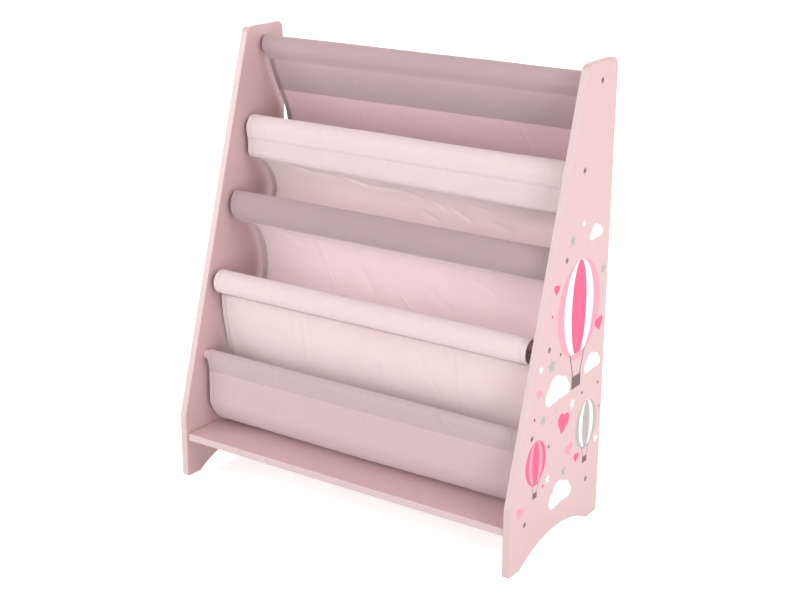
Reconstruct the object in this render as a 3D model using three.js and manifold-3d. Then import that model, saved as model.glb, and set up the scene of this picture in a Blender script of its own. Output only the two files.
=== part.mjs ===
// Children's sling bookshelf: two painted side panels, a shelf board and five round rods,
// with a sewn cloth that hangs from the rods as four book pockets.
// Millimetres. +X is to the right, +Y to the back, +Z up. The origin is on the floor,
// midway between the two panels and midway between their front and back edges.

import * as THREE from "three";
import { mergeVertices } from "three/addons/utils/BufferGeometryUtils.js";
import Module from "manifold-3d";

const wasm = await Module();
wasm.setup();

// Side panels
const overallWidth = 624;
const panelDepth = 276;
const panelHeight = 720;
const panelThickness = 12;
const panelTopWidth = 90; // level top edge
const panelFrontRise = 108; // upright part of the front edge, below the slant
const panelTopRadius = 14;
const panelKneeRadius = 40; // where the upright front edge turns into the slant
const panelToeRadius = 5;
const panelEdgeRound = 1.5;
const footLength = 32; // flat part of each foot
const archRise = 28;

// Shelf board
const boardThickness = 12;
const boardUnderside = 64; // height of its lower face above the floor
const boardInset = 3.5; // from the panels' front and back edges
const boardEdgeRound = 1.5;

// Rods
const rodCount = 5;
const rodRadius = 8;
const rodChamfer = 1;
const topRodDrop = 28; // from the panels' top edge to the top rod's centre
const topRodInset = 48; // from the panels' back edge to the top rod's centre
const bottomRodHeight = 200.5;
const bottomRodInset = 28; // from the slanted front edge to the bottom rod's centre

// Screws
const screwHeadRadius = 4.5;
const screwHeadDepth = 2.8;
const screwShankRadius = 2;
const screwTipLength = 5;
const screwTipRadius = 0.5;
const rodScrewLength = 40;
const boardScrewLength = 45;
const boardScrewInset = 39; // from the board's front and back edges
const recessSpan = 4.8;
const recessSlot = 1.1;
const recessDepth = 1.6;
const headSink = 0.2; // the head's face lies this far below the panel

// Cloth
const clothThickness = 1.2;
const clothSideGap = 8; // from the cloth's hem to the panel
const casingEase = 10; // how much wider a round casing is than its rod, on the radius
const hemWidth = 10; // the cloth is folded back down both sides
const hemFold = 1.1; // how much thicker the fold makes it, on the pockets' outside
const hemStep = 0.8; // width of the step from the fold down to the single layer
const hemStart = 6; // where a hem's fold begins under the lowest rod's seam
const seamDepth = 2.5; // how far the two layers are sewn together under a casing
const seamAllowance = 58; // spare cloth of the first seam, down the back of the top pocket
const shelfSkim = 4.5; // from the board up to the lowest pocket's underside
const backInset = 1.6; // the top pocket stays this far inside the panels' back edge
const bandDropLeft = 27; // the flat band under the second casing grows to the right
const bandDropRight = 38;
const frontHang = 52; // upright part of the lowest pocket's front wall
const frontLean = 2; // how far that wall comes forward on its way down
const pocketSag = 4; // the pockets hang this much deeper at mid width than at the hems

// Clearances
const seatGap = 0.3; // between pieces that touch or are screwed together
const screwGap = 0.3; // round a screw in its hole
const overrun = 2; // how far a cutter runs past the face it cuts

// Facets and steps
const archSteps = 18;
const cornerSteps = 5;
const edgeSteps = 2;
const rodSides = 24;
const screwSides = 16;
const casingSteps = 18;
const wallSteps = 8;
const flatPoints = [2, 6, 2, 2, 2]; // points of the walls' lines at each seam with flat hems
const hangHalvings = 18; // halvings in the search for the place where a casing hangs

const insideHalf = overallWidth / 2 - panelThickness;
const clothHalf = insideHalf - clothSideGap;
const boardTop = boardUnderside + boardThickness;
const slantRun = panelDepth - panelTopWidth;
const slantRise = panelHeight - panelFrontRise;

// How far behind the panels' front edge the slant is at a given height.
function slantAt(height) {
  return (slantRun * Math.max(height - panelFrontRise, 0)) / slantRise;
}

// The rods lie on one straight line, seen from the side. x of a Vector2 is the distance back
// from the panels' front edge, and y is the height.
const topRod = new THREE.Vector2(panelDepth - topRodInset, panelHeight - topRodDrop);
const bottomRod = new THREE.Vector2(slantAt(bottomRodHeight) + bottomRodInset, bottomRodHeight);
const rodPlaces = [];
for (let i = 0; i < rodCount; i++) {
  rodPlaces.push(topRod.clone().lerp(bottomRod, i / (rodCount - 1)));
}
const rodStep = (topRod.y - bottomRod.y) / (rodCount - 1);

// Each casing is an oval that hangs from its rod and runs down to a sewn line.
// across and up: the oval's ease over the rod, as shares of casingEase.
// forward and down: the direction in which it hangs from the rod.
// seamBack and seamDown: from the rod to the sewn line, as shares of rodStep.
// land: where on the oval the wall from behind comes in, as a share of a half turn from its back.
const casingShares = [
  { across: 0.52, up: 0.52, forward: 0.76, down: 0.65, seamBack: 0.012, seamDown: 0.213, land: 0 },
  { across: 0.95, up: 1.0, forward: 0.1, down: 1.0, seamBack: -0.135, seamDown: 0.195, land: 0 },
  { across: 0.72, up: 1.4, forward: 0.62, down: 0.78, seamBack: -0.08, seamDown: 0.266, land: 0.37 },
  { across: 1.0, up: 1.0, forward: 0.88, down: 0.47, seamBack: -0.074, seamDown: 0.205, land: 0.3 },
  { across: 0.04, up: 0.04, forward: 0.7, down: 0.7, seamBack: -0.033, seamDown: 0.185, land: 0 },
];

// Each pocket hangs between one rod and the next, measured from the upper one in shares of rodStep.
// reach: where its back wall lies furthest back, as a share of the way to the panels' back edge.
// reachDown: how far below the upper rod that is.
// deepBack and deepDown: the middle of its underside.
// leaveBack, leaveDown and arrive: how the back wall leaves the seam and comes to the reach.
// front and frontDown: how the front wall leaves the underside and comes up to the next seam.
const pocketShares = [
  {
    reach: 1, reachDown: 1.15, deepBack: -0.03, deepDown: 1.5,
    leaveBack: 0.075, leaveDown: 0.33, arrive: 0.26, front: 0.2, frontDown: 0.1,
  },
  {
    reach: 0.484, reachDown: 0.985, deepBack: 0, deepDown: 1.25,
    leaveBack: 0.187, leaveDown: 0.03, arrive: 0.25, front: 0.16, frontDown: 0.02,
  },
  {
    reach: 0.438, reachDown: 0.99, deepBack: 0.07, deepDown: 1.57,
    leaveBack: 0.27, leaveDown: 0, arrive: 0.49, front: 0.2, frontDown: 0.2,
  },
  {
    reach: 0.113, reachDown: 1.57, deepBack: -0.09, deepDown: 1.96,
    leaveBack: -0.01, leaveDown: 0.51, arrive: 0.24, front: 0.11, frontDown: 0.14,
  },
];
const roundShare = 0.5523; // a Bezier handle that draws a quarter of an oval

const materials = {
  paint: { color: 0xf2d6d6, roughness: 0.42, metalness: 0 },
  rodPaint: { color: 0xeec9c8, roughness: 0.5, metalness: 0 },
  steel: { color: 0x9b9796, roughness: 0.35, metalness: 1 },
  mauve: { color: 0xc9abad, roughness: 0.9, metalness: 0 },
  pale: { color: 0xf7e2e0, roughness: 0.9, metalness: 0 },
  rose: { color: 0xedcfd1, roughness: 0.9, metalness: 0 },
};

function piece(name, geometry, finish) {
  const made = new THREE.Mesh(geometry, new THREE.MeshStandardMaterial(materials[finish]));
  made.name = name;
  return made;
}

// A closed geometry as a solid that can be cut and joined, and back again.
function solid(geometry) {
  const bare = geometry.clone();
  bare.deleteAttribute("normal");
  bare.deleteAttribute("uv");
  const merged = mergeVertices(bare);
  return new wasm.Manifold(
    new wasm.Mesh({
      numProp: 3,
      vertProperties: new Float32Array(merged.attributes.position.array),
      triVerts: new Uint32Array(merged.index.array),
    }),
  );
}

function geometryOf(made) {
  const mesh = made.getMesh();
  const geometry = new THREE.BufferGeometry();
  geometry.setAttribute("position", new THREE.BufferAttribute(mesh.vertProperties, 3));
  geometry.setIndex(new THREE.BufferAttribute(mesh.triVerts, 1));
  geometry.computeVertexNormals();
  return geometry;
}

// Turns a side outline, drawn with X to the back and Y up, into the part's frame with its
// extrusion along +X.
const sideways = new THREE.Matrix4().makeBasis(
  new THREE.Vector3(0, 1, 0),
  new THREE.Vector3(0, 0, 1),
  new THREE.Vector3(1, 0, 0),
);

// A side outline made into a board of the given thickness with rounded edges, from x = 0 up.
function roundedBoard(outline, thickness, round) {
  const made = new THREE.ExtrudeGeometry(outline, {
    depth: thickness - round * 2,
    bevelThickness: round,
    bevelSize: round,
    bevelOffset: -round,
    bevelSegments: edgeSteps,
    curveSegments: cornerSteps,
  });
  made.translate(0, 0, round);
  return made.applyMatrix4(sideways);
}

// Rounds the corner at a point of an outline that comes from one point and goes on to another.
function roundCorner(shape, from, corner, to, radius) {
  const inward = from.clone().sub(corner).normalize();
  const outward = to.clone().sub(corner).normalize();
  const half = Math.acos(inward.dot(outward)) / 2;
  const cut = radius / Math.tan(half);
  const start = corner.clone().addScaledVector(inward, cut);
  const end = corner.clone().addScaledVector(outward, cut);
  const handle = (4 / 3) * Math.tan((Math.PI / 2 - half) / 2) * radius;
  const leave = start.clone().addScaledVector(inward, -handle);
  const arrive = end.clone().addScaledVector(outward, -handle);
  shape.lineTo(start.x, start.y);
  shape.bezierCurveTo(leave.x, leave.y, arrive.x, arrive.y, end.x, end.y);
}

// The panel seen from the side: two feet with an arch between them, an upright back edge, a
// level top and a front edge that is upright below and slants back above.
function panelOutline() {
  const heel = new THREE.Vector2(panelDepth, 0);
  const backTop = new THREE.Vector2(panelDepth, panelHeight);
  const frontTop = new THREE.Vector2(slantRun, panelHeight);
  const knee = new THREE.Vector2(0, panelFrontRise);
  const toe = new THREE.Vector2(0, 0);
  const archHalf = (panelDepth - footLength * 2) / 2;
  const archRadius = (archHalf ** 2 + archRise ** 2) / (archRise * 2);
  const archCentre = new THREE.Vector2(panelDepth / 2, archRise - archRadius);
  const archAngle = Math.asin(archHalf / archRadius);

  const shape = new THREE.Shape();
  shape.moveTo(panelDepth - footLength, 0);
  roundCorner(shape, new THREE.Vector2(panelDepth - footLength, 0), heel, backTop, panelToeRadius);
  roundCorner(shape, heel, backTop, frontTop, panelTopRadius);
  roundCorner(shape, backTop, frontTop, knee, panelTopRadius);
  roundCorner(shape, frontTop, knee, toe, panelKneeRadius);
  roundCorner(shape, knee, toe, new THREE.Vector2(footLength, 0), panelToeRadius);
  shape.lineTo(footLength, 0);
  for (let i = 1; i < archSteps; i++) {
    const angle = archAngle * ((i / archSteps) * 2 - 1);
    shape.lineTo(
      archCentre.x + Math.sin(angle) * archRadius,
      archCentre.y + Math.cos(angle) * archRadius,
    );
  }
  return shape;
}

// A countersunk screw along +X with its head's face at x = 0, grown by a gap where it is
// used as a cutter.
function screwBody(length, gap) {
  const profile = [
    new THREE.Vector2(0, -gap),
    new THREE.Vector2(screwHeadRadius + gap, -gap),
    new THREE.Vector2(screwHeadRadius + gap, gap),
    new THREE.Vector2(screwShankRadius + gap, screwHeadDepth + gap),
    new THREE.Vector2(screwShankRadius + gap, length - screwTipLength),
    new THREE.Vector2(screwTipRadius + gap, length + gap),
    new THREE.Vector2(0, length + gap),
  ];
  const made = new THREE.LatheGeometry(profile, screwSides);
  made.rotateZ(-Math.PI / 2);
  return made;
}

// The screw itself, with a cross recess in its head.
function screw(length) {
  let made = solid(screwBody(length, 0));
  for (const turn of [0, Math.PI / 2]) {
    const slot = new THREE.BoxGeometry(recessDepth * 2, recessSpan, recessSlot);
    slot.rotateX(turn);
    made = made.subtract(solid(slot));
  }
  return geometryOf(made);
}

// Where the screws go through a panel: one into each rod and two into the board.
function screwPlaces() {
  const boardMiddle = boardUnderside + boardThickness / 2;
  const frontScrew = boardInset + boardScrewInset;
  const places = rodPlaces.map((place, i) => ({
    name: `rod_screw_${i + 1}`,
    place,
    length: rodScrewLength,
  }));
  places.push({
    name: "board_screw_front",
    place: new THREE.Vector2(frontScrew, boardMiddle),
    length: boardScrewLength,
  });
  places.push({
    name: "board_screw_back",
    place: new THREE.Vector2(panelDepth - frontScrew, boardMiddle),
    length: boardScrewLength,
  });
  return places;
}

// The left panel from x = -overallWidth / 2 inwards, with its screw holes.
function leftPanel() {
  let made = solid(roundedBoard(panelOutline(), panelThickness, panelEdgeRound));
  for (const { place, length } of screwPlaces()) {
    const hole = screwBody(length, screwGap);
    hole.translate(headSink, place.x, place.y);
    const mouth = new THREE.CylinderGeometry(
      screwHeadRadius + screwGap,
      screwHeadRadius + screwGap,
      overrun,
      screwSides,
    );
    mouth.rotateZ(Math.PI / 2);
    mouth.translate(headSink - overrun / 2, place.x, place.y);
    made = made.subtract(solid(hole)).subtract(solid(mouth));
  }
  return geometryOf(made).translate(-overallWidth / 2, 0, 0);
}

// A piece mirrored to the other side of the shelf, with its faces turned out again.
function mirrored(geometry) {
  const made = geometry.clone().scale(-1, 1, 1);
  const index = made.index.array;
  for (let i = 0; i < index.length; i += 3) {
    const first = index[i];
    index[i] = index[i + 1];
    index[i + 1] = first;
  }
  made.computeVertexNormals();
  return made;
}

// A board with rounded edges that fits between the panels, bored at both ends for its screws.
function shelfBoard() {
  const long = (insideHalf - seatGap) * 2;
  const corners = [
    new THREE.Vector2(boardInset, boardUnderside),
    new THREE.Vector2(panelDepth - boardInset, boardUnderside),
    new THREE.Vector2(panelDepth - boardInset, boardTop),
    new THREE.Vector2(boardInset, boardTop),
  ];
  const rounded = new THREE.Shape();
  const start = corners[0].clone().lerp(corners[1], 0.5);
  rounded.moveTo(start.x, start.y);
  roundCorner(rounded, start, corners[1], corners[2], boardEdgeRound);
  roundCorner(rounded, corners[1], corners[2], corners[3], boardEdgeRound);
  roundCorner(rounded, corners[2], corners[3], corners[0], boardEdgeRound);
  roundCorner(rounded, corners[3], corners[0], start, boardEdgeRound);
  const extruded = new THREE.ExtrudeGeometry(rounded, {
    depth: long,
    bevelEnabled: false,
    curveSegments: cornerSteps,
  });
  extruded.translate(0, 0, -long / 2).applyMatrix4(sideways);
  let made = solid(extruded);
  for (const { place, length, name } of screwPlaces()) {
    if (!name.startsWith("board")) continue;
    const hole = screwBody(length, screwGap);
    hole.translate(headSink - overallWidth / 2, place.x, place.y);
    made = made.subtract(solid(hole)).subtract(solid(mirrored(hole)));
  }
  return geometryOf(made);
}

// A rod that reaches from panel to panel, with chamfered ends and a pilot bore in each.
function rod() {
  const end = insideHalf - seatGap;
  const boreRadius = screwShankRadius + screwGap;
  const boreEnd = overallWidth / 2 - headSink - rodScrewLength - screwGap * 2;
  const half = [
    new THREE.Vector2(0, boreEnd),
    new THREE.Vector2(boreRadius, boreEnd),
    new THREE.Vector2(boreRadius, end),
    new THREE.Vector2(rodRadius - rodChamfer, end),
    new THREE.Vector2(rodRadius, end - rodChamfer),
  ];
  const other = half.map((point) => new THREE.Vector2(point.x, -point.y));
  const profile = [...other, ...half.reverse()];
  const made = new THREE.LatheGeometry(profile, rodSides);
  made.rotateZ(-Math.PI / 2);
  return made;
}

// A closed solid through like rings of side points, each ring at its own x.
function loft(rings, places) {
  const count = rings[0].length;
  const positions = [];
  rings.forEach((ring, r) => ring.forEach((p) => positions.push(places[r], p.x, p.y)));
  const index = [];
  for (let r = 0; r + 1 < rings.length; r++) {
    for (let i = 0; i < count; i++) {
      const a = r * count + i;
      const b = r * count + ((i + 1) % count);
      index.push(a, b, b + count, a, b + count, a + count);
    }
  }
  const last = (rings.length - 1) * count;
  for (const [a, b, c] of THREE.ShapeUtils.triangulateShape(rings[0], [])) {
    index.push(a, c, b);
  }
  for (const [a, b, c] of THREE.ShapeUtils.triangulateShape(rings[rings.length - 1], [])) {
    index.push(last + a, last + b, last + c);
  }
  const made = new THREE.BufferGeometry();
  made.setAttribute("position", new THREE.Float32BufferAttribute(positions, 3));
  made.setIndex(index);
  return made;
}

// Where a casing is sewn together under its rod.
function seamOf(i) {
  const share = casingShares[i];
  return rodPlaces[i]
    .clone()
    .add(new THREE.Vector2(share.seamBack * rodStep, -share.seamDown * rodStep));
}

// Whether a rod with its clearance stays inside an oval when it lies off the oval's centre.
function rodFits(offset, across, up) {
  const facet = Math.cos(Math.PI / casingSteps);
  for (let k = 0; k < rodSides; k++) {
    const angle = (k / rodSides) * Math.PI * 2;
    const y = offset.x + Math.cos(angle) * (rodRadius + seatGap);
    const z = offset.y + Math.sin(angle) * (rodRadius + seatGap);
    if ((y / across) ** 2 + (z / up) ** 2 > facet ** 2) return false;
  }
  return true;
}

// The oval hollow of a casing. It hangs from the rod in its own direction, until the rod
// touches it inside.
function casingOval(i) {
  const share = casingShares[i];
  const facet = Math.cos(Math.PI / casingSteps);
  const across = (rodRadius + seatGap) / facet + casingEase * share.across;
  const up = (rodRadius + seatGap) / facet + casingEase * share.up;
  const hang = new THREE.Vector2(-share.forward, -share.down).normalize();
  let near = 0;
  let far = Math.max(across, up);
  for (let halving = 0; halving < hangHalvings; halving++) {
    const middle = (near + far) / 2;
    if (rodFits(hang.clone().multiplyScalar(-middle), across, up)) near = middle;
    else far = middle;
  }
  return { centre: rodPlaces[i].clone().addScaledVector(hang, near), across, up };
}

// An oval drawn out to a point: the arc that faces away from the point, and then the point.
function dropRing(centre, across, up, point) {
  const apart = new THREE.Vector2((point.x - centre.x) / across, (point.y - centre.y) / up);
  const facing = Math.atan2(apart.y, apart.x);
  const open = Math.acos(Math.min(1 / apart.length(), 1));
  const ring = [];
  for (let k = 0; k <= casingSteps; k++) {
    const angle = facing + open + ((Math.PI - open) * 2 * k) / casingSteps;
    ring.push(new THREE.Vector2(
      centre.x + Math.cos(angle) * across,
      centre.y + Math.sin(angle) * up,
    ));
  }
  if (open > 0) ring.push(point);
  else ring.pop();
  return ring;
}

// Where the cloth's section is drawn, from its left hem to its right one, and how much the
// folded hem adds to it there.
function stations() {
  const hemEdge = clothHalf - hemWidth;
  const single = hemEdge - hemStep;
  const right = [
    { x: single / 2, fold: 0 },
    { x: single, fold: 0 },
    { x: hemEdge, fold: hemFold },
    { x: clothHalf, fold: hemFold },
  ];
  const left = right.map(({ x, fold }) => ({ x: -x, fold })).reverse();
  return [...left, { x: 0, fold: 0 }, ...right];
}

// A casing: the cloth tube round a rod, with its folded ends.
function casing(i) {
  const { centre, across, up } = casingOval(i);
  const seam = seamOf(i);
  const inward = centre.clone().sub(seam).normalize();
  const inner = dropRing(centre, across, up, seam.clone().addScaledVector(inward, seamDepth));
  const outer = dropRing(centre, across + clothThickness, up + clothThickness, seam);
  const pastEnds = [-clothHalf - overrun, clothHalf + overrun];
  const ends = stations().filter(({ x, fold }) => fold > 0 || Math.abs(x) > clothHalf / 2);
  const outers = ends.map(({ fold }) => outer.map((point) => {
    if (point === seam) return point;
    const outward = point.clone().sub(centre).normalize();
    return point.clone().addScaledVector(outward, fold);
  }));
  const tube = solid(loft(outers, ends.map(({ x }) => x)));
  return tube.subtract(solid(loft([inner, inner], pastEnds)));
}

// A ring round a line of side points, so far off it on its inside and its outside. A pocket's
// outside is on the left of its lines.
function stripRing(line, inside, outside) {
  const right = [];
  const left = [];
  line.forEach((point, k) => {
    const before = line[Math.max(k - 1, 0)];
    const after = line[Math.min(k + 1, line.length - 1)];
    const along = after.clone().sub(before).normalize();
    const out = new THREE.Vector2(-along.y, along.x);
    right.push(point.clone().addScaledVector(out, -inside));
    left.push(point.clone().addScaledVector(out, outside[k]));
  });
  return [...right, ...left.reverse()];
}

function curve(from, leave, arrive, to) {
  return new THREE.CubicBezierCurve(from, leave, arrive, to).getPoints(wallSteps);
}

function shifted(point, back, up) {
  return new THREE.Vector2(point.x + back, point.y + up);
}

// How far the cloth falls straight down under a seam. side runs from -1 at the left hem to 1
// at the right one.
function bandDrop(i, side) {
  if (i === 1) return THREE.MathUtils.lerp(bandDropLeft, bandDropRight, (side + 1) / 2);
  if (i === rodCount - 1) return frontHang;
  return 0;
}

// Where the two walls under a casing start, just inside its seam.
function rootOf(i) {
  const inward = casingOval(i).centre.sub(seamOf(i)).normalize();
  return seamOf(i).addScaledVector(inward, seamDepth / 2);
}

// Where the front wall of the pocket behind comes in, halfway through the casing's thickness.
function casingPoint(i) {
  const { centre, across, up } = casingOval(i);
  const angle = -casingShares[i].land * Math.PI;
  return shifted(
    centre,
    Math.cos(angle) * (across + clothThickness / 2),
    Math.sin(angle) * (up + clothThickness / 2),
  );
}

// The point where a pocket's back wall lies furthest back, and the middle of its underside.
function reachOf(i) {
  const share = pocketShares[i];
  const backEdge = panelDepth - backInset - clothThickness / 2;
  return shifted(
    rodPlaces[i],
    share.reach * (backEdge - rodPlaces[i].x),
    -share.reachDown * rodStep,
  );
}

function deepOf(i, side) {
  const share = pocketShares[i];
  const deep = shifted(rodPlaces[i], share.deepBack * rodStep, -share.deepDown * rodStep);
  if (i === pocketShares.length - 1) {
    deep.y = boardTop + shelfSkim + clothThickness / 2 + pocketSag * side ** 2;
  } else {
    deep.y -= pocketSag * (1 - side ** 2);
  }
  return deep;
}

// A pocket's back wall, from the seam above it down and round to the middle of its underside.
function backWall(i, side) {
  const share = pocketShares[i];
  const seam = seamOf(i);
  const fold = shifted(seam, 0, -bandDrop(i, side));
  const reach = reachOf(i);
  const deep = deepOf(i, side);
  const upper = curve(
    fold,
    shifted(fold, share.leaveBack * rodStep, -share.leaveDown * rodStep),
    shifted(reach, 0, share.arrive * rodStep),
    reach,
  );
  const lower = curve(
    reach,
    shifted(reach, 0, (deep.y - reach.y) * roundShare),
    shifted(deep, (reach.x - deep.x) * roundShare, 0),
    deep,
  );
  return [...upper, ...lower.slice(1)];
}

// A pocket's front wall, from the middle of its underside forward and up to the next seam.
function frontWall(i, side) {
  const share = pocketShares[i];
  const seam = seamOf(i + 1);
  const hang = bandDrop(i + 1, side);
  const last = i === pocketShares.length - 1;
  let landing = casingPoint(i + 1);
  let top = [];
  if (hang > 0) {
    landing = shifted(seam, last ? -frontLean : clothThickness, clothThickness - hang);
    if (last) top = [shifted(seam, 0, -hemStart - hemStep), shifted(seam, 0, -hemStart)];
    top.push(rootOf(i + 1));
  }
  const deep = deepOf(i, side);
  const start = shifted(deep, -seatGap, 0);
  const rise = curve(
    start,
    shifted(start, -share.front * rodStep, 0),
    shifted(landing, 0, -share.frontDown * rodStep),
    landing,
  );
  return [...rise, ...top];
}

// A wall of cloth from hem to hem. Its hems are flat over the given number of points next to its
// seam, which is at the start of its line, or at the end where the wall rises to it.
function wall(lineAt, flat, rises = false) {
  const places = stations();
  const rings = places.map(({ x, fold }) => {
    const line = lineAt(x / clothHalf);
    const outside = line.map((point, k) => {
      const fromSeam = rises ? line.length - 1 - k : k;
      return clothThickness / 2 + (fromSeam < flat ? 0 : fold);
    });
    return stripRing(line, clothThickness / 2, outside);
  });
  return solid(loft(rings, places.map(({ x }) => x)));
}

// The first so many millimetres of a line.
function startOf(line, length) {
  const start = [line[0]];
  let left = length;
  for (let k = 1; k < line.length && left > 0; k++) {
    const step = line[k].distanceTo(line[k - 1]);
    start.push(line[k - 1].clone().lerp(line[k], Math.min(left / step, 1)));
    left -= step;
  }
  return start;
}

// The spare cloth of the first seam, a second layer down the back of the top pocket's wall.
function spareCloth() {
  const places = stations();
  const rings = places.map(({ x, fold }) => {
    const line = startOf(backWall(0, x / clothHalf), seamAllowance);
    return stripRing(line, 0, line.map(() => clothThickness * 1.5 + fold));
  });
  return solid(loft(rings, places.map(({ x }) => x)));
}

function joined(...solids) {
  return geometryOf(solids.reduce((sum, next) => sum.add(next)));
}

// The cloth is sewn from six panels. Each seam between two of them lies under a pocket or a
// casing, out of sight.
function clothPanels() {
  const back = (i) => wall((side) => [rootOf(i), ...backWall(i, side)], flatPoints[i]);
  const front = (i) => wall((side) => frontWall(i, side), flatPoints[i + 1], true);
  const lower = -seatGap - clothThickness / 2;
  const lowered = (side) => backWall(2, side).map((point) => shifted(point, 0, lower));
  const underCasing = wall(lowered, flatPoints[2]);
  return [
    piece("cloth_panel_1", joined(casing(0), back(0), spareCloth()), "mauve"),
    piece("cloth_panel_2", joined(front(0), casing(1), back(1)), "pale"),
    piece("cloth_panel_3", joined(front(1), casing(2)), "mauve"),
    piece("cloth_panel_4", geometryOf(underCasing), "rose"),
    piece("cloth_panel_5", joined(front(2), casing(3), back(3)), "pale"),
    piece("cloth_panel_6", joined(front(3), casing(4)), "mauve"),
  ];
}

const shelf = new THREE.Group();
const assembly = new THREE.Group();
assembly.position.y = -panelDepth / 2;
shelf.add(assembly);

const panel = leftPanel();
assembly.add(piece("side_panel_left", panel, "paint"));
assembly.add(piece("side_panel_right", mirrored(panel), "paint"));
assembly.add(piece("shelf_board", shelfBoard(), "paint"));
rodPlaces.forEach((place, i) => {
  const made = piece(`rod_${i + 1}`, rod(), "rodPaint");
  made.position.set(0, place.x, place.y);
  assembly.add(made);
});
for (const { name, place, length } of screwPlaces()) {
  for (const [side, turn] of [["left", 0], ["right", Math.PI]]) {
    const made = piece(`${name}_${side}`, screw(length), "steel");
    const face = overallWidth / 2 - headSink;
    made.position.set(side === "left" ? -face : face, place.x, place.y);
    made.rotation.z = turn;
    assembly.add(made);
  }
}
for (const panelOfCloth of clothPanels()) assembly.add(panelOfCloth);

export default shelf;
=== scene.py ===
"""The looks of the children's sling bookshelf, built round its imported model.

Run as a script. Every length is in metres, in the part's own frame: +X to the right, +Y to the
back, +Z up, with the origin on the floor under the middle of the rack.
"""

import math
from contextlib import contextmanager

import bmesh
import bpy
import numpy as np
from mathutils import Matrix, Vector


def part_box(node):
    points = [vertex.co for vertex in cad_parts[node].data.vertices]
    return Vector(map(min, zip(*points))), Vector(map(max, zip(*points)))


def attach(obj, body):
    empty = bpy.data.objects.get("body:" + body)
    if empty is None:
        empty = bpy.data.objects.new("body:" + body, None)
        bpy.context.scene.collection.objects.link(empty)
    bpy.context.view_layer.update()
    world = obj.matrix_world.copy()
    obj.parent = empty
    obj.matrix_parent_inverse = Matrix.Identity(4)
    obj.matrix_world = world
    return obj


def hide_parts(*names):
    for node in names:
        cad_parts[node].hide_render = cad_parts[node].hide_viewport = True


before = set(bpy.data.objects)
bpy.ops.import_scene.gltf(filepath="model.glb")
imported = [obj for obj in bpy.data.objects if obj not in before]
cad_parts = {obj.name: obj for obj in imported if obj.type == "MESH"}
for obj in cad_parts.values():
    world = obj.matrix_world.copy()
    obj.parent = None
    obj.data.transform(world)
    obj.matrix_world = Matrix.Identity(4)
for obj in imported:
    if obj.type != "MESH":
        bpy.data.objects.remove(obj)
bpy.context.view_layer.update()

bl_info = {
    "name": "Sling Bookshelf",
    "version": (1, 0, 0),
    "blender": (4, 5, 0),
    "location": "View3D > Sidebar > Bookshelf",
    "description": "Builds a children's sling bookshelf in painted board and sewn cloth",
    "category": "Add Mesh",
}

MM = 0.001
PANEL_LOW, PANEL_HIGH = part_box("side_panel_left")
BOARD_LOW, BOARD_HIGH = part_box("shelf_board")
OUTER_HALF = -PANEL_LOW.x
CLOTH_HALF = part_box("cloth_panel_1")[1].x
ROD_COUNT = sum(name.startswith("rod_") and name[4:].isdigit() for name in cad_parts)


def middle_of(node):
    """The middle of a CAD node's box, as distance to the back and height."""
    low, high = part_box(node)
    return np.array([(low.y + high.y) / 2, (low.z + high.z) / 2])


ROD_RADIUS = (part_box("rod_1")[1].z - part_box("rod_1")[0].z) / 2
ROD_PLACES = [middle_of(f"rod_{i + 1}") for i in range(ROD_COUNT)]
ROD_STEP = (ROD_PLACES[0][1] - ROD_PLACES[-1][1]) / (ROD_COUNT - 1)
SCREW_PLACES = {
    name[: -len("_left")]: middle_of(name)
    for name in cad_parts
    if "screw" in name and name.endswith("_left")
}

# How far apart two places may be and still count as one.
NEAR = 0.2 * MM
# Edges that turn more than this are shaded hard, or rounded.
HARD_EDGE = math.radians(32)
BEVELLED_EDGE = math.radians(35)
# The thickness of one layer of ink, and the radius of a printed dot.
INK_FILM = 0.025 * MM
DOT = 0.0026
# The camera's sensor in millimetres, the floor's side, and the point that the lamps look at.
SENSOR_WIDTH = 36
FLOOR_SIZE = 14
LAMP_TARGET = (0, 0, 0.35)


# Properties

def number_prop(name, default, description, **kind):
    """A number that a user can change, with its unit or subtype where one fits."""
    return bpy.props.FloatProperty(name=name, description=description, default=default, **kind)


def length_prop(name, default, description):
    return number_prop(name, default, description, unit="LENGTH")


def angle_prop(name, default, description):
    return number_prop(name, default, description, subtype="ANGLE")


def power_prop(name, default, description):
    return number_prop(name, default, description, unit="POWER")


def colour_prop(name, default, description):
    """A colour that a user can change, as sRGB values."""
    return bpy.props.FloatVectorProperty(
        name=name, description=description, default=default, subtype="COLOR_GAMMA")


class PanelSizes(bpy.types.PropertyGroup):
    """Sizes of the painted boards, rods and screws."""

    top_width: length_prop("Top Width", 0.090, "Level top edge of a side panel")
    front_rise: length_prop("Front Rise", 0.108, "Upright part of the front edge, below the slant")
    top_radius: length_prop("Top Radius", 0.014, "Round of the two top corners")
    knee_radius: length_prop(
        "Knee Radius", 0.040, "Round where the front edge turns into the slant")
    toe_radius: length_prop("Toe Radius", 0.005, "Round of the outer corner of each foot")
    edge_round: length_prop("Edge Round", 0.0015, "Round along every painted edge")
    foot_length: length_prop("Foot Length", 0.032, "Flat part of each foot")
    arch_rise: length_prop("Arch Rise", 0.028, "Height of the arch between the feet")
    rod_chamfer: length_prop("Rod Chamfer", 0.001, "Broken edge at the rods' ends")
    head_radius: length_prop("Screw Head Radius", 0.0045, "Radius of a countersunk screw head")
    head_depth: length_prop("Screw Head Depth", 0.0028, "Depth of the countersunk head")
    shank_radius: length_prop("Screw Shank Radius", 0.002, "Radius of the screw's shank")
    recess_span: length_prop("Recess Span", 0.0048, "Width of the cross recess over its points")
    recess_slot: length_prop("Recess Slot", 0.0011, "Width of one arm of the cross recess")


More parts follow.
